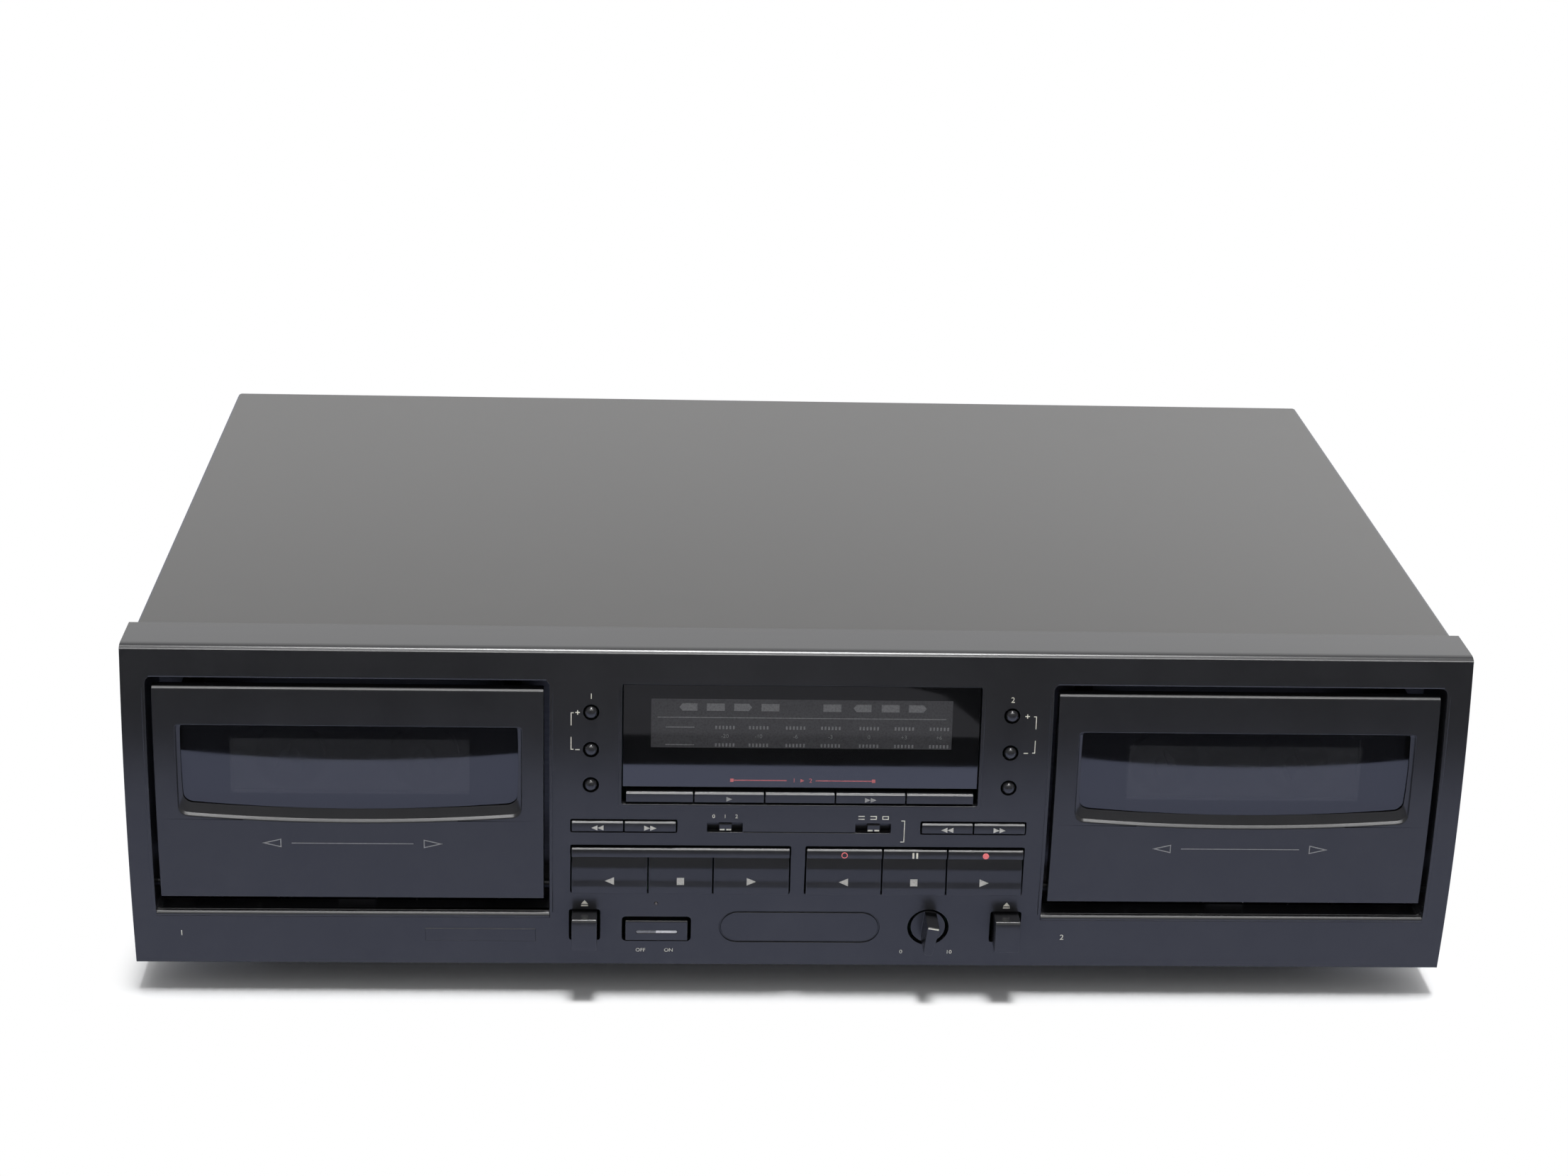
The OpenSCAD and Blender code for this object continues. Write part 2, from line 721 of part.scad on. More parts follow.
module level_knob() color("#202226") {
    bar_y(knob_x, knob_h, knob_r, [knob_y, knob_back]);
    translate([knob_x, back(knob_y), up(knob_h)]) rotate([0, grip_turn, 0])
        span([-grip_w / 2, grip_w / 2], [-knob_out, past], [-grip_l / 2, grip_l / 2]);
    bar_y(knob_x, knob_h, pot_r, [0, board_back - pot_floor - air]);
}

// A key switch in front of the key board
module key_switch(x, h) {
    span([x - switch_half[0], x + switch_half[0]], [back(board_back - switch_t), back(board_back)],
        [up(h - switch_half[1]), up(h + switch_half[1])]);
}

module control_board() color("#3f6b45") difference() {
    union() {
        span([-board_half, board_half], [back(board_back), back(board_back + board_t)],
            [up(board_edge), up(board_high_h)]);
        for (s = [-1, 1]) {
            for (i = [0, 1, 2]) {
                key_switch(middle(key_span(s, i)), (main_low_h + strip_low_h) / 2);
                key_switch(s * round_x, round_h[i]);
            }
            for (i = [0, 1]) key_switch(middle(wind_span(s, i)), (wind_low_h + wind_high_h) / 2);
            span([s * slider_x - slide_half[0], s * slider_x + slide_half[0]],
                [back(board_back - slide_body), back(board_back)],
                [up(slider_h - slide_half[1]), up(slider_h + slide_half[1])]);
        }
        for (i = [0, 1, 2]) key_switch(middle(key_span(1, i)), (strip_low_h + strip_high_h) / 2);
        for (i = [1, 3]) key_switch(middle(copy_span(i)), display_low_h + key_gap + copy_key_tall / 2);
        key_switch(power_x, (power_low_h + power_high_h) / 2);
        for (p = [pot_can, pot_neck]) bar_y(knob_x, knob_h, pot_r + p[0], [board_back - p[1], board_back]);
    }
    bar_y(knob_x, knob_h, pot_r + running, [board_back - pot_neck[1] - past, board_back - pot_floor]);
}

module main_board() color("#4c7a4a") {
    z = main_board_z + board_t;
    translate([main_board_x, back(main_board_y), main_board_z])
        cube([main_board_size[0], main_board_size[1], board_t]);
    translate([main_board_x, back(main_board_y), z]) {
        for (i = [0:5]) translate([capacitor_at[0] + capacitor_pitch * i, capacitor_at[1], 0])
            cylinder(r = capacitor_r, h = capacitor_h);
        for (i = [0:2]) translate([chip_at[0] + chip_pitch * i, chip_at[1], 0]) cube(chip_size);
        translate([sink_at[0], sink_at[1], 0]) cube(sink_size);
    }
}

// A block of the transformer, centred over its place
module transformer_block(size, rise) {
    translate([transformer_x - size[0] / 2, back(transformer_y) - size[1] / 2, floor_z + rise]) cube(size);
}

module power_transformer() color("#6d6f72") {
    transformer_block(transformer_plate, 0);
    transformer_block(core_size, 0);
    transformer_block(coil_size, coil_rise);
}

module line_jacks() color("#2a2a2c") {
    inner = case_d - 2 * sheet;
    difference() {
        union() {
            span([jack_x - jack_block, jack_x + jack_pitch + jack_block],
                [back(inner - jack_block), back(inner)],
                [up(jack_h - jack_block), up(jack_h + jack_pitch + jack_block)]);
            at_jacks() translate([0, 0, back(inner - past)]) cylinder(r = jack_r, h = jack_y - inner + past);
        }
        at_jacks() translate([0, 0, back(case_d)]) cylinder(r = jack_bore, h = jack_out + past);
    }
}

module cord_gland() color("#151515") difference() {
    outer = case_d - sheet;
    union() {
        bar_y(gland_x, jack_h, gland_body_r, [outer - sheet - gland_tail, outer]);
        bar_y(gland_x, jack_h, gland_flange_r, [outer, outer + gland_flange_t]);
    }
    bar_y(gland_x, jack_h, gland_r, [outer - sheet - gland_tail - past, outer + gland_flange_t + past]);
}

module mechanism_frames() color("#9a9da0") for (side = [-1, 1]) {
    x = side * door_x;
    half = opening_w / 2 + well_wall;
    difference() {
        union() {
            span([x - half, x + half], [back(plate_back), back(plate_back + plate_t)],
                [up(plate_low_h), up(lintel_h) + well_wall]);
            for (s = [-1, 1]) {
                bar_y(x + s * capstan_half, capstan_h, bearing_r, [plate_back - bearing_nose, bearing_end]);
                bar_y(x + s * reel_half, reel_h, reel_shaft_r, [tip_y + tip_cap + air, plate_back + past]);
            }
        }
        for (s = [-1, 1])
            bar_y(x + s * capstan_half, capstan_h, capstan_r + running,
                [plate_back - bearing_nose - past, bearing_end + past]);
    }
}

module drive_motors() color("#b9bcc0") for (side = [-1, 1]) {
    bar_y(side * door_x, motor_h, motor_r, [plate_back + plate_t, bearing_end]);
    bar_y(side * door_x, motor_h, motor_shaft_r, [bearing_end - past, flywheel_y + flywheel_t]);
    bar_y(side * door_x, motor_h, pulley_r, [flywheel_y, flywheel_y + flywheel_t]);
}

// Outline round the motor pulley and both flywheels
module belt_outline(grow) hull() {
    translate([0, up(motor_h)]) circle(r = pulley_r + grow);
    for (s = [-1, 1]) translate([s * capstan_half, up(capstan_h)]) circle(r = flywheel_r + grow);
}

module drive_belts() color("#111111") for (side = [-1, 1]) {
    translate([side * door_x, back(flywheel_y + (flywheel_t + belt_w) / 2), 0]) rotate([90, 0, 0])
        linear_extrude(belt_w) difference() {
            belt_outline(air + belt_t);
            belt_outline(air);
        }
}

module head_blocks() color("#84878b") for (side = [-1, 1]) {
    x = side * door_x;
    span([x - base_half, x + base_half], [back(plate_back - base_t), back(plate_back)],
        [up(base_h[0]), up(base_h[1])]);
    span([x - head_w / 2, x + head_w / 2], [back(tip_y), back(plate_back - base_t + past)],
        [up(base_h[1] - past), up(head_top_h)]);
    for (s = [-1, 1]) {
        xr = x + s * capstan_half;
        bar_y(xr, roller_h, roller_r, [tip_y, tip_y + roller_t]);
        bar_y(xr, roller_h, roller_pin_r, [tip_y, plate_back - base_t + past]);
        span([xr - roller_arm[0] / 2, xr + roller_arm[0] / 2],
            [back(plate_back - base_t), back(plate_back - base_t + roller_arm[1])],
            [up(base_h[1] - past), up(roller_h + 2 * roller_pin_r)]);
    }
}

module door_hinge_pins() color("#2b2b2d") {
    for (side = [-1, 1]) hinge_bars(side, hinge_r, pin_reach, well_wall);
}

// The window recess of one door, bounded below by its sloping, smiling lip
module window_cut(side) {
    x = side * door_x;
    intersection() {
        span([x - window_w / 2, x + window_w / 2],
            [front_y - face_sag - past, back(door_back - glass_t)],
            [up(window_low_h - past), up(window_top_h)]);
        translate([x, face_y(window_low_h, -door_recess), up(window_low_h)]) rotate([lip_slope - 90, 0, 0])
            translate([0, -smile_r, -panel_h / 4]) cylinder(r = smile_r, h = panel_h, $fn = arc_steps);
    }
}

// The glass lies between the door's window frame and the holder's plate
module glass_space(side, grow) {
    half = window_w / 2 + glass_lap + grow;
    x = side * door_x;
    span([x - half, x + half], [back(door_back - glass_t), back(door_back + grow)],
        [up(window_low_h) - grow, up(window_top_h + glass_lap) + grow]);
}

module door(side) color("#26282d") {
    x = side * door_x;
    half = door_w / 2;
    frame = window_w / 2 + glass_lap;
    difference() {
        union() {
            difference() {
                face_block([x - half, x + half], [door_low_h, door_high_h], door_back, -door_recess);
                intersection() {
                    span([x - half + door_wall, x + half - door_wall],
                        [front_y - face_sag, back(door_back) + past],
                        [up(door_low_h + door_wall), up(door_high_h - door_wall)]);
                    behind_face(-door_recess - door_wall);
                }
            }
            face_block([x - frame, x + frame], [window_low_h - glass_lap, window_top_h + glass_lap],
                door_back - glass_t, -door_recess);
        }
        window_cut(side);
        glass_space(side, press_gap);
    }
}

module window(side) color("#1a1c20") glass_space(side, 0);

module holder(side) color("#303236") {
    x = side * door_x;
    half = door_w / 2 - door_wall / 2;
    z = [up(tape_low_h - holder_wall), up(door_high_h - channel_drop)];
    rear = holder_back + holder_wall;
    difference() {
        union() {
            span([x - half, x + half], [back(door_back), back(door_back + holder_wall)],
                [up(door_low_h + door_wall / 2), up(door_high_h - door_wall / 2)]);
            for (s = [-1, 1]) {
                translate([x + s * tape_w / 2, 0, 0]) mirror([s < 0 ? 1 : 0, 0, 0]) {
                    span([0, holder_wall], [back(door_back), back(rear)], z);
                    span([-channel_lip, holder_wall], [back(holder_back), back(rear)], z);
                    span([-channel_shelf, holder_wall], [back(door_back), back(rear)],
                        [z[0], up(tape_low_h)]);
                    hinge_boss();
                }
            }
        }
        span([x - view_w / 2, x + view_w / 2], [back(0), back(door_back + holder_wall) + past],
            [up(view_h[0]), up(view_h[1])]);
        hinge_bars(side, hinge_r + running, pin_reach + air, well_wall);
    }
}

// A hinge boss beside a channel, flat against the door
module hinge_boss() {
    intersection() {
        translate([0, back(hinge_back), up(hinge_h)]) rotate([0, 90, 0])
            cylinder(r = hinge_boss_r, h = (door_w - tape_w) / 2 - door_wall);
        span([0, door_w], [back(door_back), back(holder_back)], [foot_h, top_z]);
    }
}

// A reel spindle with three driving fins, turning on a fixed shaft
module spindle(side, s) color("#1f2023") difference() {
    x = side * door_x + s * reel_half;
    union() {
        bar_y(x, reel_h, reel_table_r, [plate_back - air - reel_table_t, plate_back - air]);
        bar_y(x, reel_h, reel_post_r, [tip_y, plate_back - reel_table_t]);
        for (a = [0, 120, 240]) translate([x, 0, up(reel_h)]) rotate([0, a, 0])
            span([-fin_w / 2, fin_w / 2], [back(tip_y + fin_back), back(plate_back - reel_table_t)],
                [0, reel_post_r + fin_out]);
    }
    bar_y(x, reel_h, reel_shaft_r + running, [tip_y + tip_cap, plate_back]);
}

// A flywheel on its capstan
module flywheel(side, s) color("#a8a29a") {
    x = side * door_x + s * capstan_half;
    bar_y(x, capstan_h, flywheel_r, [flywheel_y, flywheel_y + flywheel_t]);
    bar_y(x, capstan_h, capstan_r, [tip_y, flywheel_y + flywheel_t + capstan_tail]);
}

front_panel();
top_cover();
bottom_chassis();
rear_panel();
feet();
cover_screws();
display_window();
display_module();
blank_keys();
control_board();
main_board();
power_transformer();
line_jacks();
cord_gland();
mechanism_frames();
drive_motors();
drive_belts();
head_blocks();
door_hinge_pins();
door(-1);  // left_door
window(-1);  // left_window
holder(-1);  // left_holder
door(1);  // right_door
window(1);  // right_window
holder(1);  // right_holder
main_key(-1, 0);  // left_reverse_key
main_key(-1, 1);  // left_stop_key
main_key(-1, 2);  // left_play_key
main_key(1, 0);  // right_reverse_key
main_key(1, 1);  // right_stop_key
main_key(1, 2);  // right_play_key
color("#26282d") strip_key(key_span(1, 0), stem_end);  // record_mute_key
color("#26282d") strip_key(key_span(1, 1), stem_end);  // pause_key
color("#26282d") strip_key(key_span(1, 2), stem_end);  // record_key
wind_key(-1, 0);  // left_rewind_key
wind_key(-1, 1);  // left_forward_key
wind_key(1, 0);  // right_rewind_key
wind_key(1, 1);  // right_forward_key
round_button(-1, 0);  // left_skip_up_button
round_button(-1, 1);  // left_skip_down_button
round_button(-1, 2);  // left_auto_button
round_button(1, 0);  // right_skip_up_button
round_button(1, 1);  // right_skip_down_button
round_button(1, 2);  // right_auto_button
eject_button(-1);  // left_eject_button
eject_button(1);  // right_eject_button
power_button();
color("#26282d") copy_key(1, stem_end);  // copy_slow_key
color("#26282d") copy_key(3, stem_end);  // copy_fast_key
slider(-1);  // noise_slider
slider(1);  // reverse_slider
level_knob();
spindle(-1, -1);  // left_supply_spindle
spindle(-1, 1);  // left_takeup_spindle
spindle(1, -1);  // right_supply_spindle
spindle(1, 1);  // right_takeup_spindle
flywheel(-1, -1);  // left_supply_flywheel
flywheel(-1, 1);  // left_takeup_flywheel
flywheel(1, -1);  // right_supply_flywheel
flywheel(1, 1);  // right_takeup_flywheel
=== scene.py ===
import math
import bpy
from mathutils import Matrix, Vector


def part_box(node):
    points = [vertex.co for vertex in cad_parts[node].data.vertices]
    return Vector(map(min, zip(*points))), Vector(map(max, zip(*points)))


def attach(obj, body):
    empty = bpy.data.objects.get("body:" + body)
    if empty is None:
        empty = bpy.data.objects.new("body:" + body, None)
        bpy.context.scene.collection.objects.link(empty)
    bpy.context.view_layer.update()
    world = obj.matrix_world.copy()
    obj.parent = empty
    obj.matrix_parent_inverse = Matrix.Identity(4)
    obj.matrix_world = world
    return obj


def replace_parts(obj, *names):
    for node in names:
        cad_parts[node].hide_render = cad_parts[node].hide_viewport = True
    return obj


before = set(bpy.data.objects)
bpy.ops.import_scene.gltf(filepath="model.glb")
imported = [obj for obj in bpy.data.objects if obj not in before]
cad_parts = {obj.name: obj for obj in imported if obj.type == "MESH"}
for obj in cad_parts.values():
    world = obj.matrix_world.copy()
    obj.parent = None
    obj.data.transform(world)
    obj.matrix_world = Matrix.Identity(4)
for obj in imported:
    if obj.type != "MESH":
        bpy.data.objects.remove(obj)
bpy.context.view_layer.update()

# Front panel
# A black moulding with a bulged face and a deep rim, which carries the display, the keys and both tape wells.
# Injection-moulded plastic with a satin grain, screwed to the tray from below.
MM = 0.001
FRONT = -129.116
FLOOR_UNDER_PANEL = 10.0
PANEL_TALL = 109.0
PANEL_HALF = 210.0
SAG = 3.8
FACE_RADIUS = (PANEL_TALL ** 2 / 4 + SAG ** 2) / (2 * SAG)
CHAMFER_SLOPE = 0.855
SIDES = ((-1, "left"), (1, "right"))


def bulge(height):
    return math.sqrt(FACE_RADIUS ** 2 - (height - PANEL_TALL / 2) ** 2) - FACE_RADIUS + SAG


def face(height, out=0.0):
    return FRONT - bulge(height) - out


def lift(height):
    return FLOOR_UNDER_PANEL + height


def lifted(low, high):
    return lift(low), lift(high)


def on_face(profile):
    """Points of a cross-section, from heights and how far out of the bulged face each stands."""
    return [(face(height, out), lift(height)) for height, out in profile]


def height_of(point):
    return point.co.z / MM - FLOOR_UNDER_PANEL


def about(x, reach):
    return x - reach, x + reach


def halfway(span):
    return (span[0] + span[1]) / 2


def turns(start, stop, step):
    return [math.radians(turn) for turn in range(start, stop, step)]


def fresh(name):
    piece = bpy.context.object
    piece.name = name
    piece.data.name = name
    return piece


def deselect():
    bpy.ops.object.select_all(action="DESELECT")


def enter():
    bpy.ops.object.mode_set(mode="EDIT")


def alone(piece):
    deselect()
    piece.select_set(True)
    bpy.context.view_layer.objects.active = piece


def leave():
    bpy.ops.object.mode_set(mode="OBJECT")


def take_all():
    enter()
    bpy.ops.mesh.select_all(action="SELECT")


def push(x=0.0, y=0.0, z=0.0):
    bpy.ops.mesh.extrude_region_move(TRANSFORM_OT_translate={"value": (x * MM, y * MM, z * MM)})


def close_up():
    bpy.ops.mesh.select_all(action="SELECT")
    bpy.ops.mesh.normals_make_consistent(inside=False)
    leave()


def settle():
    bpy.ops.object.transform_apply(location=True, rotation=True, scale=True)


def pick(piece, kind, wanted):
    """Selects the wanted faces or edges for the next step in edit mode.
    A face is asked by its middle in millimetres and its normal, an edge by its two ends in millimetres."""
    alone(piece)
    enter()
    bpy.ops.mesh.select_mode(type=kind)
    bpy.ops.mesh.select_all(action="DESELECT")
    leave()
    if kind == "FACE":
        for polygon in piece.data.polygons:
            polygon.select = wanted(polygon.center / MM, polygon.normal)
    else:
        for edge in piece.data.edges:
            a, b = [piece.data.vertices[i].co / MM for i in edge.vertices]
            edge.select = bool(wanted(a, b))
    enter()


def block(name, x, y, z, corner=0.0):
    """A block; a corner rounds its four edges that run from front to back."""
    deselect()
    middle = [(a + b) / 2 * MM for a, b in (x, y, z)]
    size = [abs(b - a) * MM for a, b in (x, y, z)]
    bpy.ops.mesh.primitive_cube_add(size=1, location=middle, scale=size)
    settle()
    piece = fresh(name)
    if corner:
        pick(piece, "EDGE", lambda a, b: abs(a.x - b.x) < 0.01 and abs(a.z - b.z) < 0.01)
        bpy.ops.mesh.bevel(offset=corner * MM, segments=5)
        leave()
    return piece


def drawn(name, points):
    """A flat outline, drawn point by point and left selected in edit mode."""
    deselect()
    bpy.ops.mesh.primitive_circle_add(vertices=len(points), radius=MM, fill_type="NGON")
    piece = fresh(name)
    for vertex, point in zip(piece.data.vertices, points):
        vertex.co = [c * MM for c in point]
    take_all()
    return piece


def bar(name, x, outline):
    """A bar along X: a flat outline in Y and Z, extruded."""
    piece = drawn(name, [(x[0], y, z) for y, z in outline])
    push(x=x[1] - x[0])
    close_up()
    return piece


def plate(name, outline, y, hollow=0.0):
    """A plate: a flat outline of (x, height), extruded from front to back; a hollow one is only a frame."""
    piece = drawn(name, [(x, y[0], lift(height)) for x, height in outline])
    if hollow:
        bpy.ops.mesh.inset(thickness=hollow * MM)
        bpy.ops.mesh.delete(type="FACE")
        bpy.ops.mesh.select_all(action="SELECT")
    push(y=y[1] - y[0])
    close_up()
    return piece


def cylinder(name, middle, radius, long, sides, turned=(0, 0, 0)):
    deselect()
    bpy.ops.mesh.primitive_cylinder_add(vertices=sides, radius=radius * MM, depth=long * MM,
        location=[c * MM for c in middle], rotation=turned)
    settle()
    return fresh(name)


def rod(name, x, height, radius, y, sides=40):
    return cylinder(name, (x, halfway(y), lift(height)), radius, y[1] - y[0], sides, (math.pi / 2, 0, 0))


def finish_step(piece, step):
    alone(piece)
    bpy.ops.object.modifier_apply(modifier=step.name)


def carve(piece, tool, operation="DIFFERENCE"):
    step = piece.modifiers.new("carved", "BOOLEAN")
    step.operation = operation
    step.solver = "EXACT"
    step.object = tool
    finish_step(piece, step)
    bpy.data.objects.remove(tool)


def soften(piece, width, segments=2, sharp=35, smooth=50):
    """Rounds the edges as a mould does, and evens the shading of the large faces beside them."""
    step = piece.modifiers.new("rounded edges", "BEVEL")
    step.width = width * MM
    step.segments = segments
    step.limit_method = "ANGLE"
    step.angle_limit = math.radians(sharp)
    step.use_clamp_overlap = False
    finish_step(piece, step)
    bpy.ops.object.shade_smooth_by_angle(angle=math.radians(smooth))
    step = piece.modifiers.new("even shading", "WEIGHTED_NORMAL")
    step.keep_sharp = True
    finish_step(piece, step)
    return piece


def face_strip(low, high, out, back, rows, chamfer=0.0):
    """Cross-section of a piece whose front follows the bulged face, with a chamfer along its upper edge."""
    top = high - chamfer
    heights = [low + (top - low) * i / rows for i in range(rows + 1)]
    front = on_face([(h, out) for h in heights])
    if chamfer:
        front.append((face(high, out - CHAMFER_SLOPE * chamfer), lift(high)))
    return front + [(back, lift(high)), (back, lift(low))]


def dress(piece, material):
    piece.data.materials.clear()
    piece.data.materials.append(material)


def fit(piece, material, body, node=None):
    """Gives a finished piece its material, its body and the node that it stands for."""
    dress(piece, material)
    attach(piece, body)
    if node:
        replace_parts(piece, node)


def add_node(tree, kind, sockets=(), operation=None):
    """A new node. Each of its sockets takes a value or another node's output."""
    node = tree.nodes.new("ShaderNode" + kind)
    if operation:
        node.operation = operation
    for socket, value in dict(sockets).items():
        if isinstance(value, bpy.types.NodeSocket):
            tree.links.new(value, node.inputs[socket])
        else:
            node.inputs[socket].default_value = value
    return node


def by_place(tree):
    return add_node(tree, "TexCoord").outputs["Object"]


def noise(tree, scale, detail, where=None):
    sockets = {"Vector": where or by_place(tree), "Scale": scale, "Detail": detail}
    return add_node(tree, "TexNoise", sockets).outputs["Fac"]


def surface(name, values):
    """A new material with these values on its shader."""
    material = bpy.data.materials.new(name)
    material.use_nodes = True
    for socket, value in values.items():
        material.node_tree.nodes["Principled BSDF"].inputs[socket].default_value = value
    return material, material.node_tree


def feed(tree, output, socket):
    tree.links.new(output, tree.nodes["Principled BSDF"].inputs[socket])


def vary_colour(tree, factor, span, first, second):
    """Lets the colour run from the first to the second as the factor crosses a span."""
    ramp = add_node(tree, "ValToRGB", {"Fac": factor})
    for element, position, colour in zip(ramp.color_ramp.elements, span, (first, second)):
        element.position = position
        element.color = [*colour, 1]
    feed(tree, ramp.outputs["Color"], "Base Color")


def vary_gloss(tree, factor, low, high, span=(0.0, 1.0)):
    """Lets the roughness run from low to high as the factor crosses a span."""
    sockets = {"Value": factor, "From Min": span[0], "From Max": span[1], "To Min": low, "To Max": high}
    feed(tree, add_node(tree, "MapRange", sockets).outputs["Result"], "Roughness")


def raise_grain(tree, factor, strength, depth):
    bump = add_node(tree, "Bump", {"Strength": strength, "Distance": depth * MM, "Height": factor})
    feed(tree, bump.outputs["Normal"], "Normal")


def moulded(name, colour, roughness, grain, depth, mottle=0.08):
    """Moulded plastic: a fine grain in the bump, a soft mottle in the colour and the gloss."""
    material, tree = surface(name, {})
    raise_grain(tree, noise(tree, grain, 3.0), 0.5, depth)
    broad = noise(tree, 52.0, 5.0)
    darker, lighter = [[c * (1 + way * mottle) for c in colour] for way in (-1, 1)]
    vary_colour(tree, broad, (0.3, 0.7), darker, lighter)
    vary_gloss(tree, broad, roughness - 0.02, roughness + 0.02)
    return material


PANEL_BLACK = (0.021, 0.0212, 0.0235)
panel_plastic = moulded("panel_plastic", PANEL_BLACK, 0.26, 3200, 0.012)

RIM_BACK = FRONT + 19.0
WALL = 2.6
FOOT_STEP = 0.6
FACE_LOW, FACE_RUN, FACE_ROWS = 1, 105, 20
LIP = face(107.0)
TOP_EDGE = ((0.0, 107.3), (0.0, 107.6), (0.05, 107.72), (0.48, 108.22), (1.0, 108.58), (1.5, 108.8),
    (2.2, 108.95), (3.2, 109.0))
outline = [(RIM_BACK, lift(0)), (face(FOOT_STEP), lift(0)), (face(FOOT_STEP), lift(FOOT_STEP))]
outline += on_face([(FACE_LOW + FACE_RUN * i / FACE_ROWS, 0) for i in range(FACE_ROWS + 1)])
outline += [(LIP + inward, lift(height)) for inward, height in TOP_EDGE]
outline.append((RIM_BACK, lift(PANEL_TALL)))
panel = bar("front_panel_moulding", about(0, PANEL_HALF), outline)


def front_side_edge(a, b):
    return abs(a.x - b.x) < 0.01 and abs(abs(a.x) - PANEL_HALF) < 0.01 and max(a.y, b.y) < FRONT + 1.0


SIDE_ROUND = 2.2
pick(panel, "EDGE", front_side_edge)
bpy.ops.mesh.bevel(offset=SIDE_ROUND * MM, segments=4, clamp_overlap=True)
leave()
inside = face_strip(WALL, PANEL_TALL - WALL, -WALL, RIM_BACK + 5, 12)
carve(panel, bar("hollow", about(0, PANEL_HALF - WALL), inside))

DOOR_X = 140.5
OPENING_HALF = 62.0
SILL, LINTEL = 19.6, 98.8
WELL_BACK = FRONT + 25.0
WELL_WALL = 2
RIM = 1.0
RIM_OUT = 0.3
DISPLAY_HALF = 56.0
DISPLAY_LOW, DISPLAY_HIGH = 58.5, 98.0
BEAD_AT = 18.2
BEAD = ((-0.6, -2.0), (-0.6, 0.1), (-0.3, 0.28), (0.2, 0.3), (0.9, -0.3), (1.2, -0.7), (1.3, -1.5),
    (1.3, -2.0))
LINTEL_SLANT = ((0.28, 1.8), (-0.56, -0.9), (3.0, -0.9), (3.0, 1.8))


def raised_rim(x, low, high, corner, foot):
    """A low rim beside an opening, with round corners from its foot up; it fades out at the top."""
    heights = [low + (high - 5 - low) * i / 14 for i in range(15)]
    outline = on_face([(h, RIM_OUT) for h in heights] + [(high, -0.1)])
    outline += [(FRONT - 0.05, lift(high)), (FRONT - 0.05, lift(low))]
    rim = bar("rim", (x[0] - 5, x[1] + 5), outline)
    wide = (x[0] - RIM, x[1] + RIM)
    carve(rim, block("rim_edge", wide, (FRONT - 12, FRONT + 5), lifted(foot, high + 9), corner), "INTERSECT")
    return rim


for side, hand in SIDES:
    x = about(side * DOOR_X, OPENING_HALF)
    walls = block("walls", (x[0] - WELL_WALL, x[1] + WELL_WALL), (FRONT - 0.4, WELL_BACK),
        lifted(SILL - WELL_WALL, LINTEL + WELL_WALL))
    past_floor = (FRONT + 6, WELL_BACK + 5)
    carve(walls, block("floor_end", (x[0] - 5, x[1] + 5), past_floor, lifted(SILL - 5, SILL + 1)))
    carve(panel, walls, "UNION")
    carve(panel, raised_rim(x, SILL + 0.02, LINTEL, 2.6, SILL - 9), "UNION")
    bead = on_face([(BEAD_AT + rise, out) for rise, out in BEAD])
    notch = (FRONT - 10, face(BEAD_AT, -1.2))
    carve(panel, block("bead_seat", x, notch, lifted(BEAD_AT, SILL + 1)))
    carve(panel, bar("bead", x, bead), "UNION")
    carve(panel, block("well", x, (FRONT - 10, WELL_BACK + 5), lifted(SILL, LINTEL), 1.8))
    slant = [(face(LINTEL, out), lift(LINTEL + rise)) for out, rise in LINTEL_SLANT]
    carve(panel, bar("lintel_slant", (x[0] + 1, x[1] - 1), slant))
RIM_FOOT = DISPLAY_LOW - RIM
carve(panel, raised_rim(about(0, DISPLAY_HALF), RIM_FOOT, DISPLAY_HIGH, 1.4, RIM_FOOT), "UNION")
FIELD_SPAN, FIELD_LOW, FIELD_HIGH, FIELD_OUT = (-118, -83), 8.7, 13.3, 0.2
SEAM_SPAN, SEAM_LOW, SEAM_HIGH, SEAM_FLOOR = (-17.5, 18.4), 48.75, 49.0, face(48.9, -0.35)
field = face_strip(FIELD_LOW, FIELD_HIGH, FIELD_OUT, FRONT + 1, 2)
carve(panel, bar("raised_field", FIELD_SPAN, field), "UNION")
carve(panel, bar("field_groove", SEAM_SPAN, face_strip(SEAM_LOW, SEAM_HIGH, 1.0, SEAM_FLOOR, 1)))

GAP = 0.4
GROUP_IN, GROUP_OUT = 2.7, 71.5
MAIN_LOW, STRIP_HIGH = 27.2, 43.6
WIND_IN = 38.8
WIND_LOW, WIND_HIGH = 48.9, 52.6
ROUND_X = 65.6
ROUND_HEIGHTS = (88.8, 76.6, 64.8)
ROUND_RADIUS = 2.1
EJECT_X, EJECT_HALF, EJECT_LOW, EJECT_HIGH = 67.4, 4.5, 9.6, 20.2
SLIDER_X, SLIDER_AT, SLIDER_REACH, SLIDER_TALL = 23.4, 50.5, 5.2, 2.6
POWER_HOLE = (-55.5, -33.5, 8.95, 18.05)
KNOB_X, KNOB_AT, KNOB_RADIUS = 42.6, 14.6, 6.2
LAMP_X, LAMP_AT = -44.7, 23.0
through = (FRONT - 10, FRONT + 5)
windows = [(-DISPLAY_HALF, DISPLAY_HALF, DISPLAY_LOW, DISPLAY_HIGH, 0.6), (*POWER_HOLE, 1.3)]
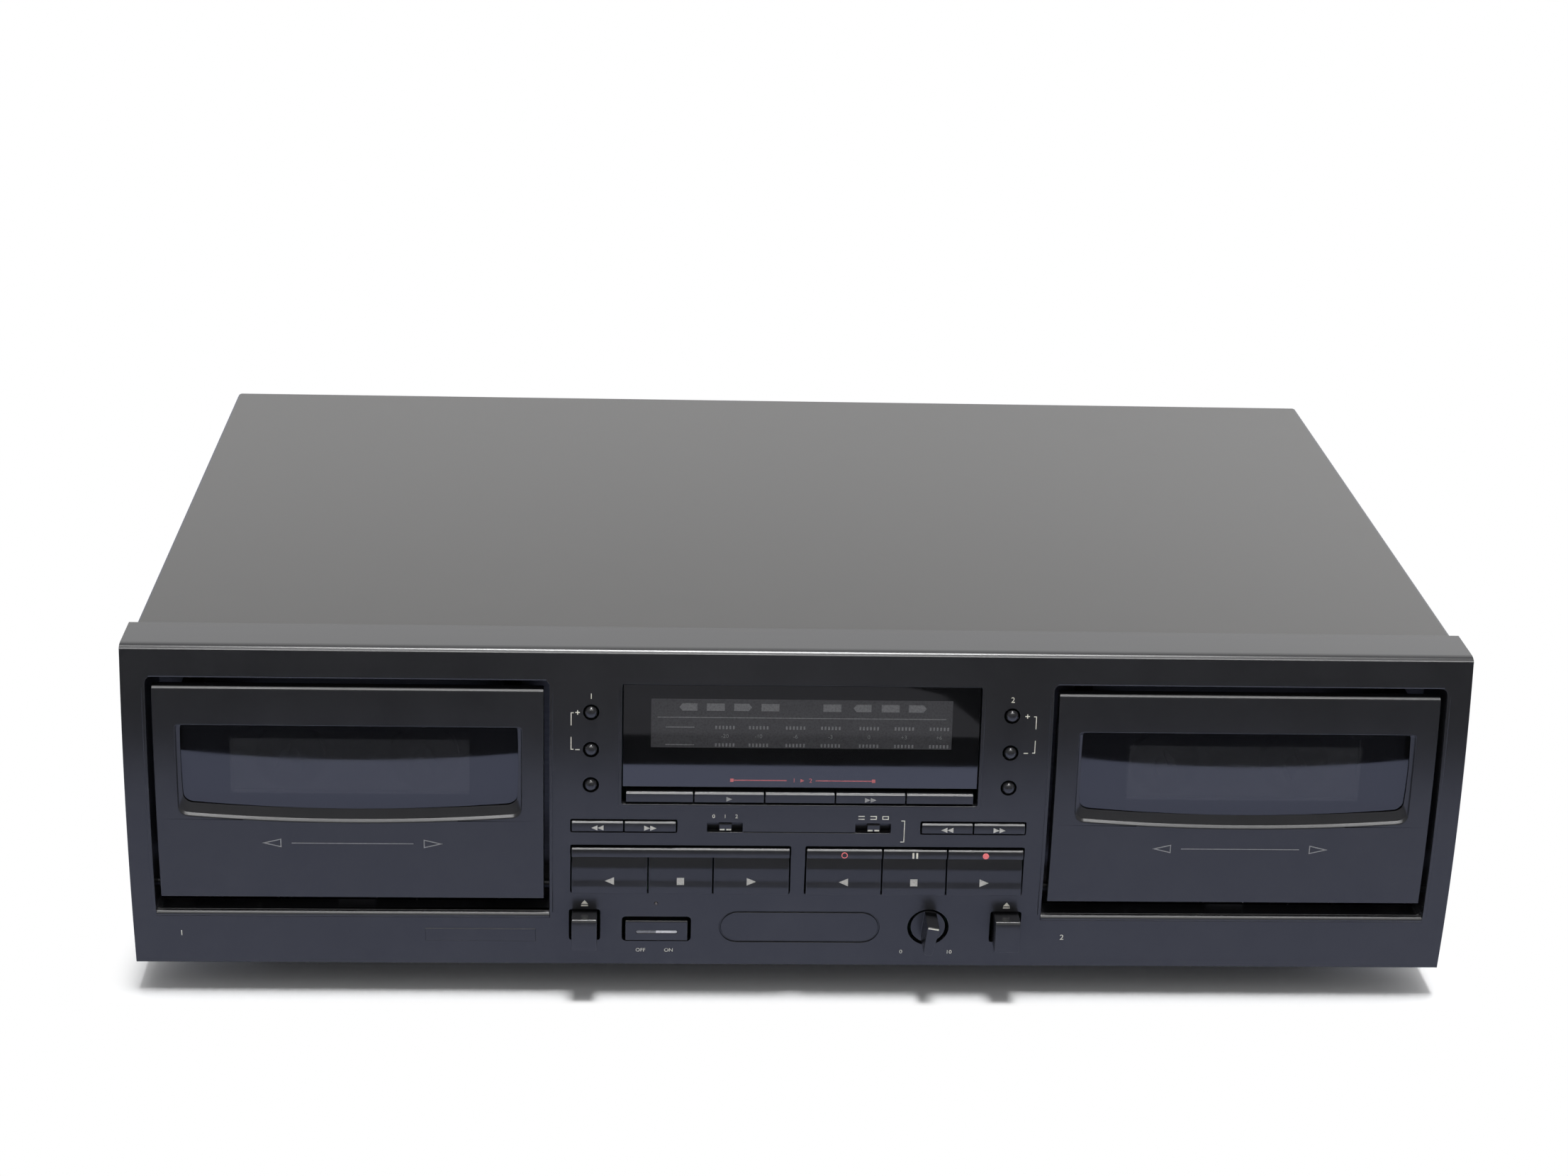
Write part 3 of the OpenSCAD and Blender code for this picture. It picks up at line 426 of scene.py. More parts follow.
for side, hand in SIDES:
    for a, b, low, high, corner in (
            (GROUP_IN, GROUP_OUT, MAIN_LOW, STRIP_HIGH, 0.5), (WIND_IN, GROUP_OUT, WIND_LOW, WIND_HIGH, 0.4),
            (*about(EJECT_X, EJECT_HALF), EJECT_LOW, EJECT_HIGH, 0.7),
            (*about(SLIDER_X, SLIDER_REACH), *about(SLIDER_AT, SLIDER_TALL / 2), 0.5)):
        left, right = sorted((side * a, side * b))
        windows.append((left - GAP, right + GAP, low - GAP, high + GAP, corner))
for left, right, low, high, corner in windows:
    carve(panel, block("window", (left, right), through, lifted(low, high), corner))
for side, hand in SIDES:
    for height in ROUND_HEIGHTS:
        carve(panel, rod("hole", side * ROUND_X, height, ROUND_RADIUS + GAP, through))
carve(panel, rod("hole", KNOB_X, KNOB_AT, KNOB_RADIUS + GAP, through, 64))
carve(panel, rod("lamp_hole", LAMP_X, LAMP_AT, 0.6, through, 16))

PILL_MIDDLE, PILL_STRAIGHT, PILL_AT, PILL_RADIUS = 1.25, 19.9, 14.45, 5.85
GROOVE_WIDE, GROOVE_DEEP = 0.52, 0.5
pill = []
for way, start in ((1, -90), (-1, 90)):
    end = PILL_MIDDLE + way * PILL_STRAIGHT
    for a in turns(start, start + 181, 12):
        pill.append((end + PILL_RADIUS * math.cos(a), PILL_AT + PILL_RADIUS * math.sin(a)))
groove = plate("groove", pill, (0, 10), GROOVE_WIDE)
for point in groove.data.vertices:
    point.co.y = face(height_of(point), 1.0 if point.co.y < 5 * MM else -GROOVE_DEEP) * MM
carve(panel, groove)
fit(soften(panel, 0.15), panel_plastic, "case", "front_panel")

# Cassette doors
# Moulded lids of the same black plastic, hinged at their foot, each with a shallow window recess.
# The recess has sloping sides, soft lower corners and a lower lip that ends in a smiling edge.
DOOR_HALF = 60.2
DOOR_LOW, DOOR_HIGH = 24.4, 95.9
DOOR_IN = 0.4
DOOR_BACK = FRONT + 2.2
WINDOW_HALF = 53.4
WINDOW_LOW, WINDOW_HIGH = 51.0, 83.5
SMILE = 2.3
RECESS = 1.8
SIDE_SLOPE, LIP_RISE, TOP_SLOPE = 1.7, 4.6, 0.9
LOW_CORNER, TOP_CORNER = 3.2, 1.0
EDGE_DEEP, EDGE_RISE, EDGE_SIDE = 0.8, 0.94, 0.25
LAP = 2.2
SLAB, PAST_PANE = 5, 1.25
LAYERS = ((6, 0, 0, 0), (-DOOR_IN, 0, 0, 0), (-DOOR_IN - EDGE_DEEP, EDGE_SIDE, EDGE_RISE, EDGE_SIDE),
    (-DOOR_IN - RECESS * PAST_PANE, *(PAST_PANE * slope for slope in (SIDE_SLOPE, LIP_RISE, TOP_SLOPE))))


def window_outline():
    """The recess as seen from the front, from its middle: a smiling lower edge, soft corners, a flat top."""
    straight = WINDOW_HALF - LOW_CORNER
    points = []
    for i in range(-12, 13):
        x = straight * i / 12
        points.append((x, WINDOW_LOW + SMILE * (x / WINDOW_HALF) ** 2))
    end = points[-1][1]
    for step, a in enumerate(turns(15, 91, 15), 1):
        rise = LOW_CORNER * (1 - math.cos(a)) + 0.04 * step
        points.append((straight + LOW_CORNER * math.sin(a), end + rise))
    for a in turns(0, 91, 30):
        across_window = WINDOW_HALF - TOP_CORNER * (1 - math.cos(a))
        points.append((across_window, WINDOW_HIGH - TOP_CORNER * (1 - math.sin(a))))
    left = [(-x, height) for x, height in reversed(points[25:])]
    return points + left


def window_recess(x):
    """The tool that cuts the recess. Each layer stands out, shrinks, rises and falls by its row in LAYERS."""
    tool = drawn("recess", [(x + aside, 0, lift(height)) for aside, height in window_outline()])
    for layer in LAYERS[1:]:
        push(y=SLAB)
    close_up()
    for point in tool.data.vertices:
        out, inward, rise, fall = LAYERS[round(point.co.y / (SLAB * MM))]
        height = height_of(point)
        up = (height - WINDOW_LOW) / (WINDOW_HIGH - WINDOW_LOW)
        point.co.x -= inward * (point.co.x - x * MM) / WINDOW_HALF
        point.co.z += (rise * (1 - up) - fall * up) * MM
        point.co.y = face(height, out) * MM
    return tool


door_plastic = moulded("door_plastic", PANEL_BLACK, 0.26, 3200, 0.012)
for side, hand in SIDES:
    x = side * DOOR_X
    lid = face_strip(DOOR_LOW, DOOR_HIGH, -DOOR_IN, DOOR_BACK, 18, 0.8)
    door = bar(hand + "_door_lid", about(x, DOOR_HALF), lid)
    pocket = face_strip(WINDOW_LOW, WINDOW_HIGH + LAP, -DOOR_IN - RECESS, DOOR_BACK + 3, 12)
    carve(door, bar("pocket", (x - WINDOW_HALF - LAP, x + WINDOW_HALF + LAP), pocket))
    carve(door, window_recess(x))
    fit(soften(door, 0.25, 3, smooth=20), door_plastic, hand + "_door_unit", hand + "_door")

# Door windows
# A smoked acrylic pane sits behind each recess, flat behind and bulged in front as the door is.
# Polished, and printed black from behind round a clear oblong, which shows the reels dimly.
# The oblong is coloured lighter than the print, as a painted reflection of the pane's back face.
GLASS_BLACK = (0.006, 0.0062, 0.007)
# Painted reflection: the clear oblong is coloured lighter than the black print, standing in for the
# reflection of the pane's back face.
CLEAR_REFLECTION_TONE = (0.023, 0.0235, 0.0255)
CLEAR_HALF, CLEAR_LOW, CLEAR_HIGH = 37.0, 60.2, 78.5
CROWN, SLACK = 0.4, 0.1
PANE_PUSH, PANE_PARTED = 8, FRONT + 3.5


def polished(name, colour, alpha, roughness=0.03):
    """Smoked acrylic: dark, part clear, with faint smears that only the gloss shows."""
    material, tree = surface(name,
        {"Base Color": (*colour, 1), "Alpha": alpha, "IOR": 1.6, "Specular IOR Level": 0.68})
    vary_gloss(tree, noise(tree, 60.0, 6.0), roughness, roughness + 0.03, (0.35, 0.75))
    return material


def combine(tree, operation, a, b):
    return add_node(tree, "Math", {0: a, 1: b}, operation).outputs[0]


def black_print_and_painted_reflection(material, x):
    """Prints the rest of the pane black, and paints a reflection into the clear oblong, whose lighter colour
    stands in for the reflection of the pane's back face: one inside the clear oblong, nought outside, by
    place.
    """
    tree = material.node_tree
    apart = add_node(tree, "SeparateXYZ", {0: by_place(tree)})
    near = []
    for axis, centre, reach in (("X", x, CLEAR_HALF),
            ("Z", lift((CLEAR_LOW + CLEAR_HIGH) / 2), (CLEAR_HIGH - CLEAR_LOW) / 2)):
        sockets = {0: apart.outputs[axis], 1: centre * MM, 2: reach * MM}
        near.append(add_node(tree, "Math", sockets, "COMPARE").outputs[0])
    # The lighter colour inside the oblong is a painted reflection.
    vary_colour(tree, combine(tree, "MULTIPLY", *near), (0.0, 1.0), GLASS_BLACK, CLEAR_REFLECTION_TONE)


for side, hand in SIDES:
    x = side * DOOR_X
    deselect()
    bpy.ops.mesh.primitive_grid_add(x_subdivisions=32, y_subdivisions=12, size=2)
    pane = fresh(hand + "_door_pane")
    reach = WINDOW_HALF + LAP - SLACK
    low, high = WINDOW_LOW + SLACK, WINDOW_HIGH + LAP - SLACK
    for point in pane.data.vertices:
        across_pane, up_pane = point.co.x, point.co.y
        height = (low + high) / 2 + (high - low) / 2 * up_pane
        set_back = CROWN * across_pane ** 2 * (1.6 - up_pane) / 1.6 + 0.02
        front = face(height, -DOOR_IN - RECESS) + set_back
        point.co = ((x + reach * across_pane) * MM, front * MM, lift(height) * MM)
    take_all()
    push(y=PANE_PUSH)
    leave()
    for point in pane.data.vertices:
        if point.co.y > PANE_PARTED * MM:
            point.co.y = (DOOR_BACK - 0.05) * MM
    enter()
    close_up()
    bpy.ops.object.shade_smooth_by_angle(angle=math.radians(30))
    smoked_acrylic = polished(hand + "_smoked_acrylic", GLASS_BLACK, 0.8)
    black_print_and_painted_reflection(smoked_acrylic, x)
    fit(pane, smoked_acrylic, hand + "_door_unit", hand + "_window")

# Display
# A dark polished pane follows the bulge of the panel. It is printed with a dim grey card, symbol boxes,
# two rows of level bars and their scale; a red line joins the two live keys below.
display_glass = polished("display_glass", GLASS_BLACK, 1.0)
PANE_LOW, PANE_HIGH = 64.0, 97.7
PANE_IN = 0.8
pane_rows = [PANE_LOW + (PANE_HIGH - PANE_LOW) * i / 14 for i in range(15)]
outline = on_face([(h, -PANE_IN) for h in pane_rows] + [(h, -PANE_IN - 2) for h in reversed(pane_rows)])
pane = bar("display_pane", about(0, DISPLAY_HALF - 0.3), outline)
fit(soften(pane, 0.15), display_glass, "case", "display_window")


def ink(name, colour, roughness=0.55):
    """Screen-printed ink: an even colour, a little broken where it is thin."""
    material, tree = surface(name, {"Roughness": roughness, "IOR": 1.6})
    vary_colour(tree, noise(tree, 1800.0, 2.0), (0.25, 0.6), [c * 0.7 for c in colour], colour)
    return material


def joined(pieces):
    """Joins the pieces into the first of them."""
    deselect()
    for piece in pieces:
        piece.select_set(True)
    bpy.context.view_layer.objects.active = pieces[0]
    if len(pieces) > 1:
        bpy.ops.object.join()
    return pieces[0]


def out_at(profile, height):
    """How far out a face stands at a height: everywhere the same, or along a key's profile."""
    if not isinstance(profile, list):
        return profile
    for (a, out_a), (b, out_b) in zip(profile, profile[1:]):
        if height <= b:
            break
    return out_a + (out_b - out_a) * (height - a) / (b - a)


def lettered(name, text, x, height, size):
    deselect()
    bpy.ops.object.text_add()
    letters = bpy.context.object
    letters.data.body = text
    letters.data.size = size * 1.4 * MM
    letters.data.align_x = "CENTER"
    letters.data.align_y = "CENTER"
    letters.data.extrude = 0.05 * MM
    bpy.ops.object.convert(target="MESH")
    mark = fresh(name)
    mark.location = (x * MM, 0.05 * MM, lift(height) * MM)
    mark.rotation_euler = (math.pi / 2, 0, 0)
    settle()
    return mark


def stamp(name, outlines, profile, material, body, hollow=0.0, words=()):
    """Flat marks laid on the bulged face: outlines of (x, height), and words as (text, x, height, size).
    On a key's profile they are cut at its bends, so that they follow it."""
    marks = [plate(name, outline, (0, 0.1), hollow) for outline in outlines]
    marks += [lettered(name, *word) for word in words]
    joined(marks)
    piece = fresh(name)
    for bend, out in profile if isinstance(profile, list) else []:
        take_all()
        bpy.ops.mesh.bisect(plane_co=(0, 0, lift(bend) * MM), plane_no=(0, 0, 1))
        leave()
    for point in piece.data.vertices:
        height = height_of(point)
        point.co.y += (face(height, out_at(profile, height)) - 0.04) * MM
    fit(piece, material, body)


def oblong(x, height, wide, tall):
    (left, right), (low, high) = about(x, wide / 2), about(height, tall / 2)
    return [(left, low), (right, low), (right, high), (left, high)]


def arrowhead(x, height, wide, tall, way):
    low, high = about(height, tall / 2)
    return [(x - way * wide / 2, low), (x + way * wide / 2, height), (x - way * wide / 2, high)]


card_grey = ink("card_grey", (0.05, 0.05, 0.054), 0.04)
bar_grey = ink("bar_grey", (0.15, 0.15, 0.155), 0.04)
symbol_grey = ink("symbol_grey", (0.13, 0.13, 0.136), 0.04)
CARD_OUT, SYMBOL_OUT = -PANE_IN - 0.02, -PANE_IN
CARD_AT, CARD_ROW = 78.6, 2.66
SYMBOL_AT, RULE_AT, SCALE_AT, LEVEL_ROWS, COPY_LINE_AT = 90.6, 87.2, 81.1, (84.0, 78.2), 66.4
BOX_HALF, BOX_HALF_TALL, BOX_SHOULDER = 2.8, 1.2, 1.8
SCALE = (("-20", -24), ("-10", -13.5), ("-6", -2), ("-3", 9), ("0", 21), ("+3", 32), ("+6", 43))
card = [oblong(0, CARD_AT + CARD_ROW * i, 94, CARD_ROW) for i in range(6)]
stamp("display_card", card, CARD_OUT, card_grey, "case")
boxes = []
for x, way in ((-35.5, -1), (-27, 0), (-18.5, 1), (-10, 0), (9.3, 0), (18.7, -1), (27.5, 0), (36, 1)):
    box = oblong(x, SYMBOL_AT, 2 * BOX_HALF, 2 * BOX_HALF_TALL)
    if way:
        far, near = SYMBOL_AT + way * BOX_HALF_TALL, SYMBOL_AT - way * BOX_HALF_TALL
        tip, shoulder, end = x + way * BOX_HALF, x + way * BOX_SHOULDER, x - way * BOX_HALF
        box = [(tip, SYMBOL_AT), (shoulder, far), (end, far), (end, near), (shoulder, near)]
    boxes.append(box)
stamp("display_symbols", boxes, SYMBOL_OUT, symbol_grey, "case")
bars = [oblong(0, RULE_AT, 90, 0.25)] + [oblong(-38, height, 9, 0.3) for height in LEVEL_ROWS]
for text, x in SCALE:
    for i in range(6):
        bars += [oblong(x - 2.75 + 1.1 * i, height, 0.55, 1.1) for height in LEVEL_ROWS]
numbers = [(text, x, SCALE_AT, 1.3) for text, x in SCALE]
stamp("display_bars", bars, SYMBOL_OUT, bar_grey, "case", words=numbers)
print_red = ink("print_red", (0.58, 0.13, 0.14))
red = [oblong(x, COPY_LINE_AT, wide, tall) for x, wide, tall in (
    (-21.5, 1.1, 1.1), (23, 1.1, 1.1), (-12.6, 16.6, 0.28), (13.6, 17.6, 0.28))]
red.append(arrowhead(0.6, COPY_LINE_AT, 1.2, 1.2, 1))
wells = [(text, x, COPY_LINE_AT, 1.4) for text, x in (("1", -2), ("2", 3.2))]
stamp("copy_line", red, -PANE_IN, print_red, "case", words=wells)

# Keys
# Moulded caps in the same black plastic, each guided in the panel by its lugs and pressed against a switch.
# The main keys are scooped under the strip and swell towards their foot; the low keys have a bevelled top.
key_plastic = moulded("key_plastic", (0.02, 0.0203, 0.0225), 0.22, 3600, 0.008)
print_cream = ink("print_cream", (0.75, 0.73, 0.63))
key_print = ink("key_print", (0.52, 0.51, 0.475))
record_red = ink("record_red", (0.97, 0.2, 0.21))
copy_grey = ink("copy_grey", (0.3, 0.3, 0.29))
KEY_BACK = FRONT + 4.0
MIDDLE_KEY = 20.6
MAIN_FACE = ((0.0, 1.38), (1.6, 1.36), (2.2, 1.31), (2.7, 1.22), (4.1, 0.88), (4.6, 0.77), (5.4, 0.63),
    (8.0, 0.32), (8.7, 0.22), (9.3, 0.09), (11.4, -0.5), (12.6, -0.85))
STRIP_LOW = 40.0
CAP_SHORT, UPRIGHT_SHARE = 0.35, 0.4
KEY_BEVEL = ((0.66, 0), (0.58, 0.05), (0.12, 0.44), (0, 0.66))
MAIN_MARK_AT, STRIP_MARK_AT, WIND_MARK_AT, COPY_MARK_AT = 31.6, 41.4, 50.4, 60.4
STOP_MARK, PLAY_MARK, PAUSE_MARK = (2.3, 2.3), (2.9, 2.5), (0.6, 1.9)
WIND_MARK, COPY_MARK = (1.9, 1.7), (1.8, 1.6)
PAUSE_APART, WIND_APART, COPY_APART = 0.6, 0.95, 0.9
RECORD_RADIUS, RING_LINE = 1.0, 0.25


def pair(mark, x, apart, *sizes):
    """Two like marks side by side, each as far from x."""
    return [mark(x - apart, *sizes), mark(x + apart, *sizes)]


def disc(x, height, radius, sides=24):
    return [(x + radius * math.cos(math.tau * i / sides), height + radius * math.sin(math.tau * i / sides))
        for i in range(sides)]


def bevelled(low, high, out, lean=0.0):
    """A key's face from its foot up: upright, leaning back a little, then a bevel that catches the light."""
    top = high - CAP_SHORT
    turn = low + UPRIGHT_SHARE * (top - low)
    return [(low, out), (turn, out)] + [(top - under, out - lean - back) for under, back in KEY_BEVEL]


def key_bar(name, x, profile):
    behind = [(KEY_BACK, lift(profile[-1][0])), (KEY_BACK, lift(profile[0][0]))]
    return bar(name, x, on_face(profile) + behind)


def key_cap(name, x, profile):
    return soften(key_bar(name + "_cap", x, profile), 0.2, 2, 50)


def fit_cap(cap, node):
    fit(cap, key_plastic, node + "_unit", node)


def key(node, x, profile):
    fit_cap(key_cap(node, x, profile), node)


def blank_key(name, x, profile):
    cap = key_cap(name, x, profile)
    fit(cap, key_plastic, "case")
    return cap


main_profile = [(MAIN_LOW + rise, out) for rise, out in MAIN_FACE]
spans = {}
for side, hand in SIDES:
    middle = side * (GROUP_IN + GROUP_OUT) / 2
    left, right = about(middle, (GROUP_OUT - GROUP_IN) / 2)
    first, second = about(middle, MIDDLE_KEY / 2)
    spans[hand] = [(left, first - GAP / 2), (first + GAP / 2, second - GAP / 2), (second + GAP / 2, right)]
    for job, x in zip(("reverse", "stop", "play"), spans[hand]):
        node = hand + "_" + job + "_key"
        key(node, x, main_profile)
        mark = oblong(halfway(x), MAIN_MARK_AT, *STOP_MARK)
        if job != "stop":
            mark = arrowhead(halfway(x), MAIN_MARK_AT, *PLAY_MARK, 1 if job == "play" else -1)
        stamp(node + "_mark", [mark], main_profile, key_print, node + "_unit")

strip_profile = bevelled(STRIP_LOW + GAP / 2, STRIP_HIGH, 1.1, 0.28)
blanks = [blank_key("blank_strip", (spans["left"][0][0], spans["left"][2][1]), strip_profile)]
for node, x in zip(("record_mute_key", "pause_key", "record_key"), spans["right"]):
    key(node, x, strip_profile)
    marks, tone = [disc(halfway(x), STRIP_MARK_AT, RECORD_RADIUS)], record_red
    if node == "pause_key":
        marks, tone = pair(oblong, halfway(x), PAUSE_APART, STRIP_MARK_AT, *PAUSE_MARK), print_cream
    ring = RING_LINE if node == "record_mute_key" else 0
    stamp(node + "_mark", marks, strip_profile, tone, node + "_unit", ring)

wind_profile = bevelled(WIND_LOW + 0.25, WIND_HIGH + 0.25, 0.8, 0.15)
for side, hand in SIDES:
    ends = sorted((side * WIND_IN, side * GROUP_OUT))
    before, after = about(halfway(ends), GAP / 2)
    for job, x, way in (("rewind", (ends[0], before), -1), ("forward", (after, ends[1]), 1)):
        node = hand + "_" + job + "_key"
        key(node, x, wind_profile)
        heads = pair(arrowhead, halfway(x), WIND_APART, WIND_MARK_AT, *WIND_MARK, way)
        stamp(node + "_mark", heads, wind_profile, key_print, node + "_unit")

COPY_LOW = DISPLAY_LOW + GAP
COPY_PITCH = (2 * DISPLAY_HALF - 2 * GAP) / 5
COPY_OUT = 0.3
copy_profile = bevelled(COPY_LOW + 0.3, COPY_LOW + 4, COPY_OUT)
for i in range(5):
    left = -DISPLAY_HALF + GAP + i * COPY_PITCH
    x = (left + (GAP / 2 if i > 0 else 1.0), left + COPY_PITCH - (GAP / 2 if i < 4 else 1.0))
    if i not in (1, 3):
        blanks.append(blank_key("blank_copy_%d" % i, x, copy_profile))
        continue
    node, heads = "copy_slow_key", [arrowhead(halfway(x), COPY_MARK_AT, *COPY_MARK, 1)]
    if i == 3:
        node, heads = "copy_fast_key", pair(arrowhead, halfway(x), COPY_APART, COPY_MARK_AT, *COPY_MARK, 1)
    key(node, x, copy_profile)
    stamp(node + "_mark", heads, COPY_OUT, copy_grey, node + "_unit")
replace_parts(joined(blanks), "blank_keys")

# Round buttons
# Small domed buttons beside the display, in round holes a little wider than they are.
DOME_RADIUS, DOME_OUT = 1.95, 1.3
for side, hand in SIDES:
    for job, height in zip(("skip_up", "skip_down", "auto"), ROUND_HEIGHTS):
        node = hand + "_" + job + "_button"
        cap = rod(node + "_cap", side * ROUND_X, height, DOME_RADIUS, (face(height, DOME_OUT), KEY_BACK))
        fit_cap(soften(cap, DOME_RADIUS - 0.25, 8), node)

# Eject buttons and power button
# Tall square caps that stand well out of the panel beside each well. The power button is a wide low cap,
# level with the panel, with a clear lens in its slit whose light is painted: the left part a dim grey as
# painted shade, the right part near white as a painted highlight. A pin-sized lamp sits over it.
EJECT_WIDE = 8.0
EJECT_FACE = ((EJECT_LOW, 7.9), (12.6, 8.0), (15.4, 7.9), (17.8, 7.5), (19.4, 7.05), (19.52, 6.98),
    (EJECT_HIGH, 6.4))
for side, hand in SIDES:
    node = hand + "_eject_button"
    cap = key_bar(node + "_cap", about(side * EJECT_X, EJECT_WIDE / 2), EJECT_FACE)
    fit_cap(soften(cap, 0.25, 3), node)
POWER_SPAN, POWER_LOW, POWER_HIGH, POWER_OUT = (-54.4, -34.55), 9.25, 16.6, 0.25
SLIT_AT, SLIT_LEFT, SLIT_SPLIT, SLIT_RIGHT = 12.45, -51.0, -44.6, -37.8
LENS_TIP, LENS_HALF = 0.4, 0.44
LAMP_RADIUS, LAMP_OUT = 0.55, 0.15
cap = bar("power_button_cap", POWER_SPAN, face_strip(POWER_LOW, POWER_HIGH, POWER_OUT, KEY_BACK, 3, 0.4))
slit_tall = lifted(*about(SLIT_AT, 0.5))
carve(cap, block("slit", (SLIT_LEFT, SLIT_RIGHT), (FRONT - 20, face(SLIT_AT, -0.15)), slit_tall, 0.4))
fit_cap(soften(cap, 0.2, 3), "power_button")
# The slit's lens is painted light: its left part is dim grey as painted shade, its right part near white as a
# painted highlight.
for name, left, right, tip_left, tip_right, tone in (
        ("dim", SLIT_LEFT, SLIT_SPLIT, LENS_TIP, 0, 0.2),
        ("bright", SLIT_SPLIT, SLIT_RIGHT, 0, LENS_TIP, 0.72)):
    lens = ink("clear_lens_" + name, (tone, tone, tone * 1.02), 0.12)
    low, high = about(SLIT_AT, LENS_HALF)
    tips = [(left + tip_left, low), (right - tip_right, low), (right, SLIT_AT)]
    tips += [(right - tip_right, high), (left + tip_left, high), (left, SLIT_AT)]
    stamp("power_lens_" + name, [tips], 0.1, lens, "power_button_unit")
lamp = rod("standby_lamp", LAMP_X, LAMP_AT, LAMP_RADIUS, (face(LAMP_AT, LAMP_OUT), FRONT + 2), 16)
fit(soften(lamp, 0.25, 3), polished("lamp_lens", (0.07, 0.055, 0.04), 1.0, 0.1), "case")

# Slide switches
# A small tab set into each slot, on a blade that closes the slot from behind, with two light ticks.
TAB_ASIDE, TAB_BELOW, TAB_ABOVE = 0.2, 1.5, 1.2
TICK_APART, TICK_BELOW, TICK = 1.05, 1.0, (1.5, 0.5)
TAB_HALF, TAB_OUT, BLADE_HALF, BLADE_HALF_TALL, BLADE_HALF_DEEP = 2.0, -0.5, 8.8, 2.3, 0.7
for node, side in (("noise_slider", -1), ("reverse_slider", 1)):
    x = side * SLIDER_X + TAB_ASIDE
    tab = face_strip(SLIDER_AT - TAB_BELOW, SLIDER_AT + TAB_ABOVE, TAB_OUT, FRONT, 1, 0.4)
    knob = bar(node + "_knob", about(x, TAB_HALF), tab)
    soften(knob, 0.2, 2)
    blade_tall = lifted(*about(SLIDER_AT, BLADE_HALF_TALL))
    blade = block("blade", about(side * SLIDER_X, BLADE_HALF), about(FRONT, BLADE_HALF_DEEP), blade_tall)
    carve(knob, blade, "UNION")
    fit_cap(knob, node)
    ticks = pair(oblong, x, TICK_APART, SLIDER_AT - TICK_BELOW, *TICK)
    stamp(node + "_ticks", ticks, TAB_OUT, print_cream, node + "_unit")

# Level knob
# A round disc sunk a little into its hole, with a tapered bar grip that carries a white line across its top.
DISC_IN, DISC_RADIUS, GRIP_OUT, LEAN = 0.6, 5.6, 9.95, math.radians(9)
GRIP_HALF, GRIP_TOP, GRIP_FOOT_HALF, GRIP_FOOT = 1.95, 5.0, 1.5, -4.0
KNOB_LINE = (0, 4.55, 3.4, 0.5)
DISC_FRONT = face(KNOB_AT)
GRIP_FRONT = DISC_FRONT - GRIP_OUT


def leaning(points):
    c, s = math.cos(LEAN), math.sin(LEAN)
    return [(KNOB_X + x * c + up * s, KNOB_AT - x * s + up * c) for x, up in points]


knob = rod("level_knob_disc", KNOB_X, KNOB_AT, DISC_RADIUS, (DISC_FRONT + DISC_IN, FRONT + 2.5), 64)
grip_outline = [(-GRIP_HALF, GRIP_TOP), (GRIP_HALF, GRIP_TOP)]
grip_outline += [(GRIP_FOOT_HALF * math.cos(t), GRIP_FOOT + math.sin(t)) for t in turns(0, -181, -20)]
carve(knob, plate("grip", leaning(grip_outline), (GRIP_FRONT, DISC_FRONT + 1)), "UNION")
fit_cap(soften(knob, 0.25, 3), "level_knob")
line = plate("level_knob_line", leaning(oblong(*KNOB_LINE)), (GRIP_FRONT - 0.03, GRIP_FRONT + 0.3))
fit(line, print_cream, "level_knob_unit")

# Printed marks on the panel and the doors
# Cream screen print: numbers, signs and brackets beside the buttons, and outline arrows on the doors.
PLUS_AT, MINUS_AT = ROUND_HEIGHTS[:2]
LINE, BRACKET_LINE, SIGN_LINE = 0.3, 0.25, 0.28
DOOR_MARK_AT = 43.8
WORD_ROWS = ((11, 2.0, (("1", -195), ("2", 86))), (94.0, 1.8, (("1", -ROUND_X), ("2", ROUND_X))),
    (5.2, 1.4, (("0", 34.3), ("10", 49.8))), (5.4, 1.3, (("OFF", -49.5), ("ON", -40.5))),
    (54.3, 1.3, (("0", -27.0), ("1", -23.4), ("2", -19.8))))
words = [(text, x, height, size) for height, size, row in WORD_ROWS for text, x in row]
marks = []
for side, sign_apart, bracket_x in ((-1, 4.2, 71.8), (1, 4.8, 73.2)):
    x = side * (ROUND_X + sign_apart)
    marks += [oblong(x, PLUS_AT, 1.4, LINE), oblong(x, PLUS_AT, LINE, 1.4), oblong(x, MINUS_AT, 1.4, LINE)]
    bracket = side * bracket_x
    marks += [oblong(bracket, height, BRACKET_LINE, 4.2) for height in (86.7, 78.7)]
    marks += [oblong(bracket - side * 0.45, height, 0.65, BRACKET_LINE) for height in (88.7, 76.7)]
    left, right = about(side * EJECT_X, 1.1)
    marks.append([(left, 22.7), (right, 22.7), (side * EJECT_X, 24.1)])
    marks.append(oblong(side * EJECT_X, 22.1, 2.2, 0.45))
for i, x in enumerate((19.6, 23.4, 27.2)):
    marks += [oblong(x, height, 2.0, SIGN_LINE) for height in (54.7, 53.7)]
    if i:
        marks.append(oblong(x + 0.9, 54.2, SIGN_LINE, 0.72))
    if i == 2:
        marks.append(oblong(x - 0.9, 54.2, SIGN_LINE, 0.72))
marks.append(oblong(33.3, 49.5, BRACKET_LINE, 7.6))
marks += [oblong(32.7, height, 1.0, BRACKET_LINE) for height in (53.2, 45.8)]
stamp("panel_print", marks, 0.0, print_cream, "case", words=words)
door_print = ink("door_print", (0.26, 0.26, 0.25))
for side, hand in SIDES:
    x = side * DOOR_X + 0.4
    arrows = [arrowhead(x + way * 25.2, DOOR_MARK_AT, 6.0, 3.0, way) for way in (-1, 1)]
    stamp(hand + "_door_arrows", arrows, -DOOR_IN, door_print, hand + "_door_unit", 0.3)
    stamp(hand + "_door_rule", [oblong(x, DOOR_MARK_AT, 38, 0.22)], -DOOR_IN, door_print, hand + "_door_unit")

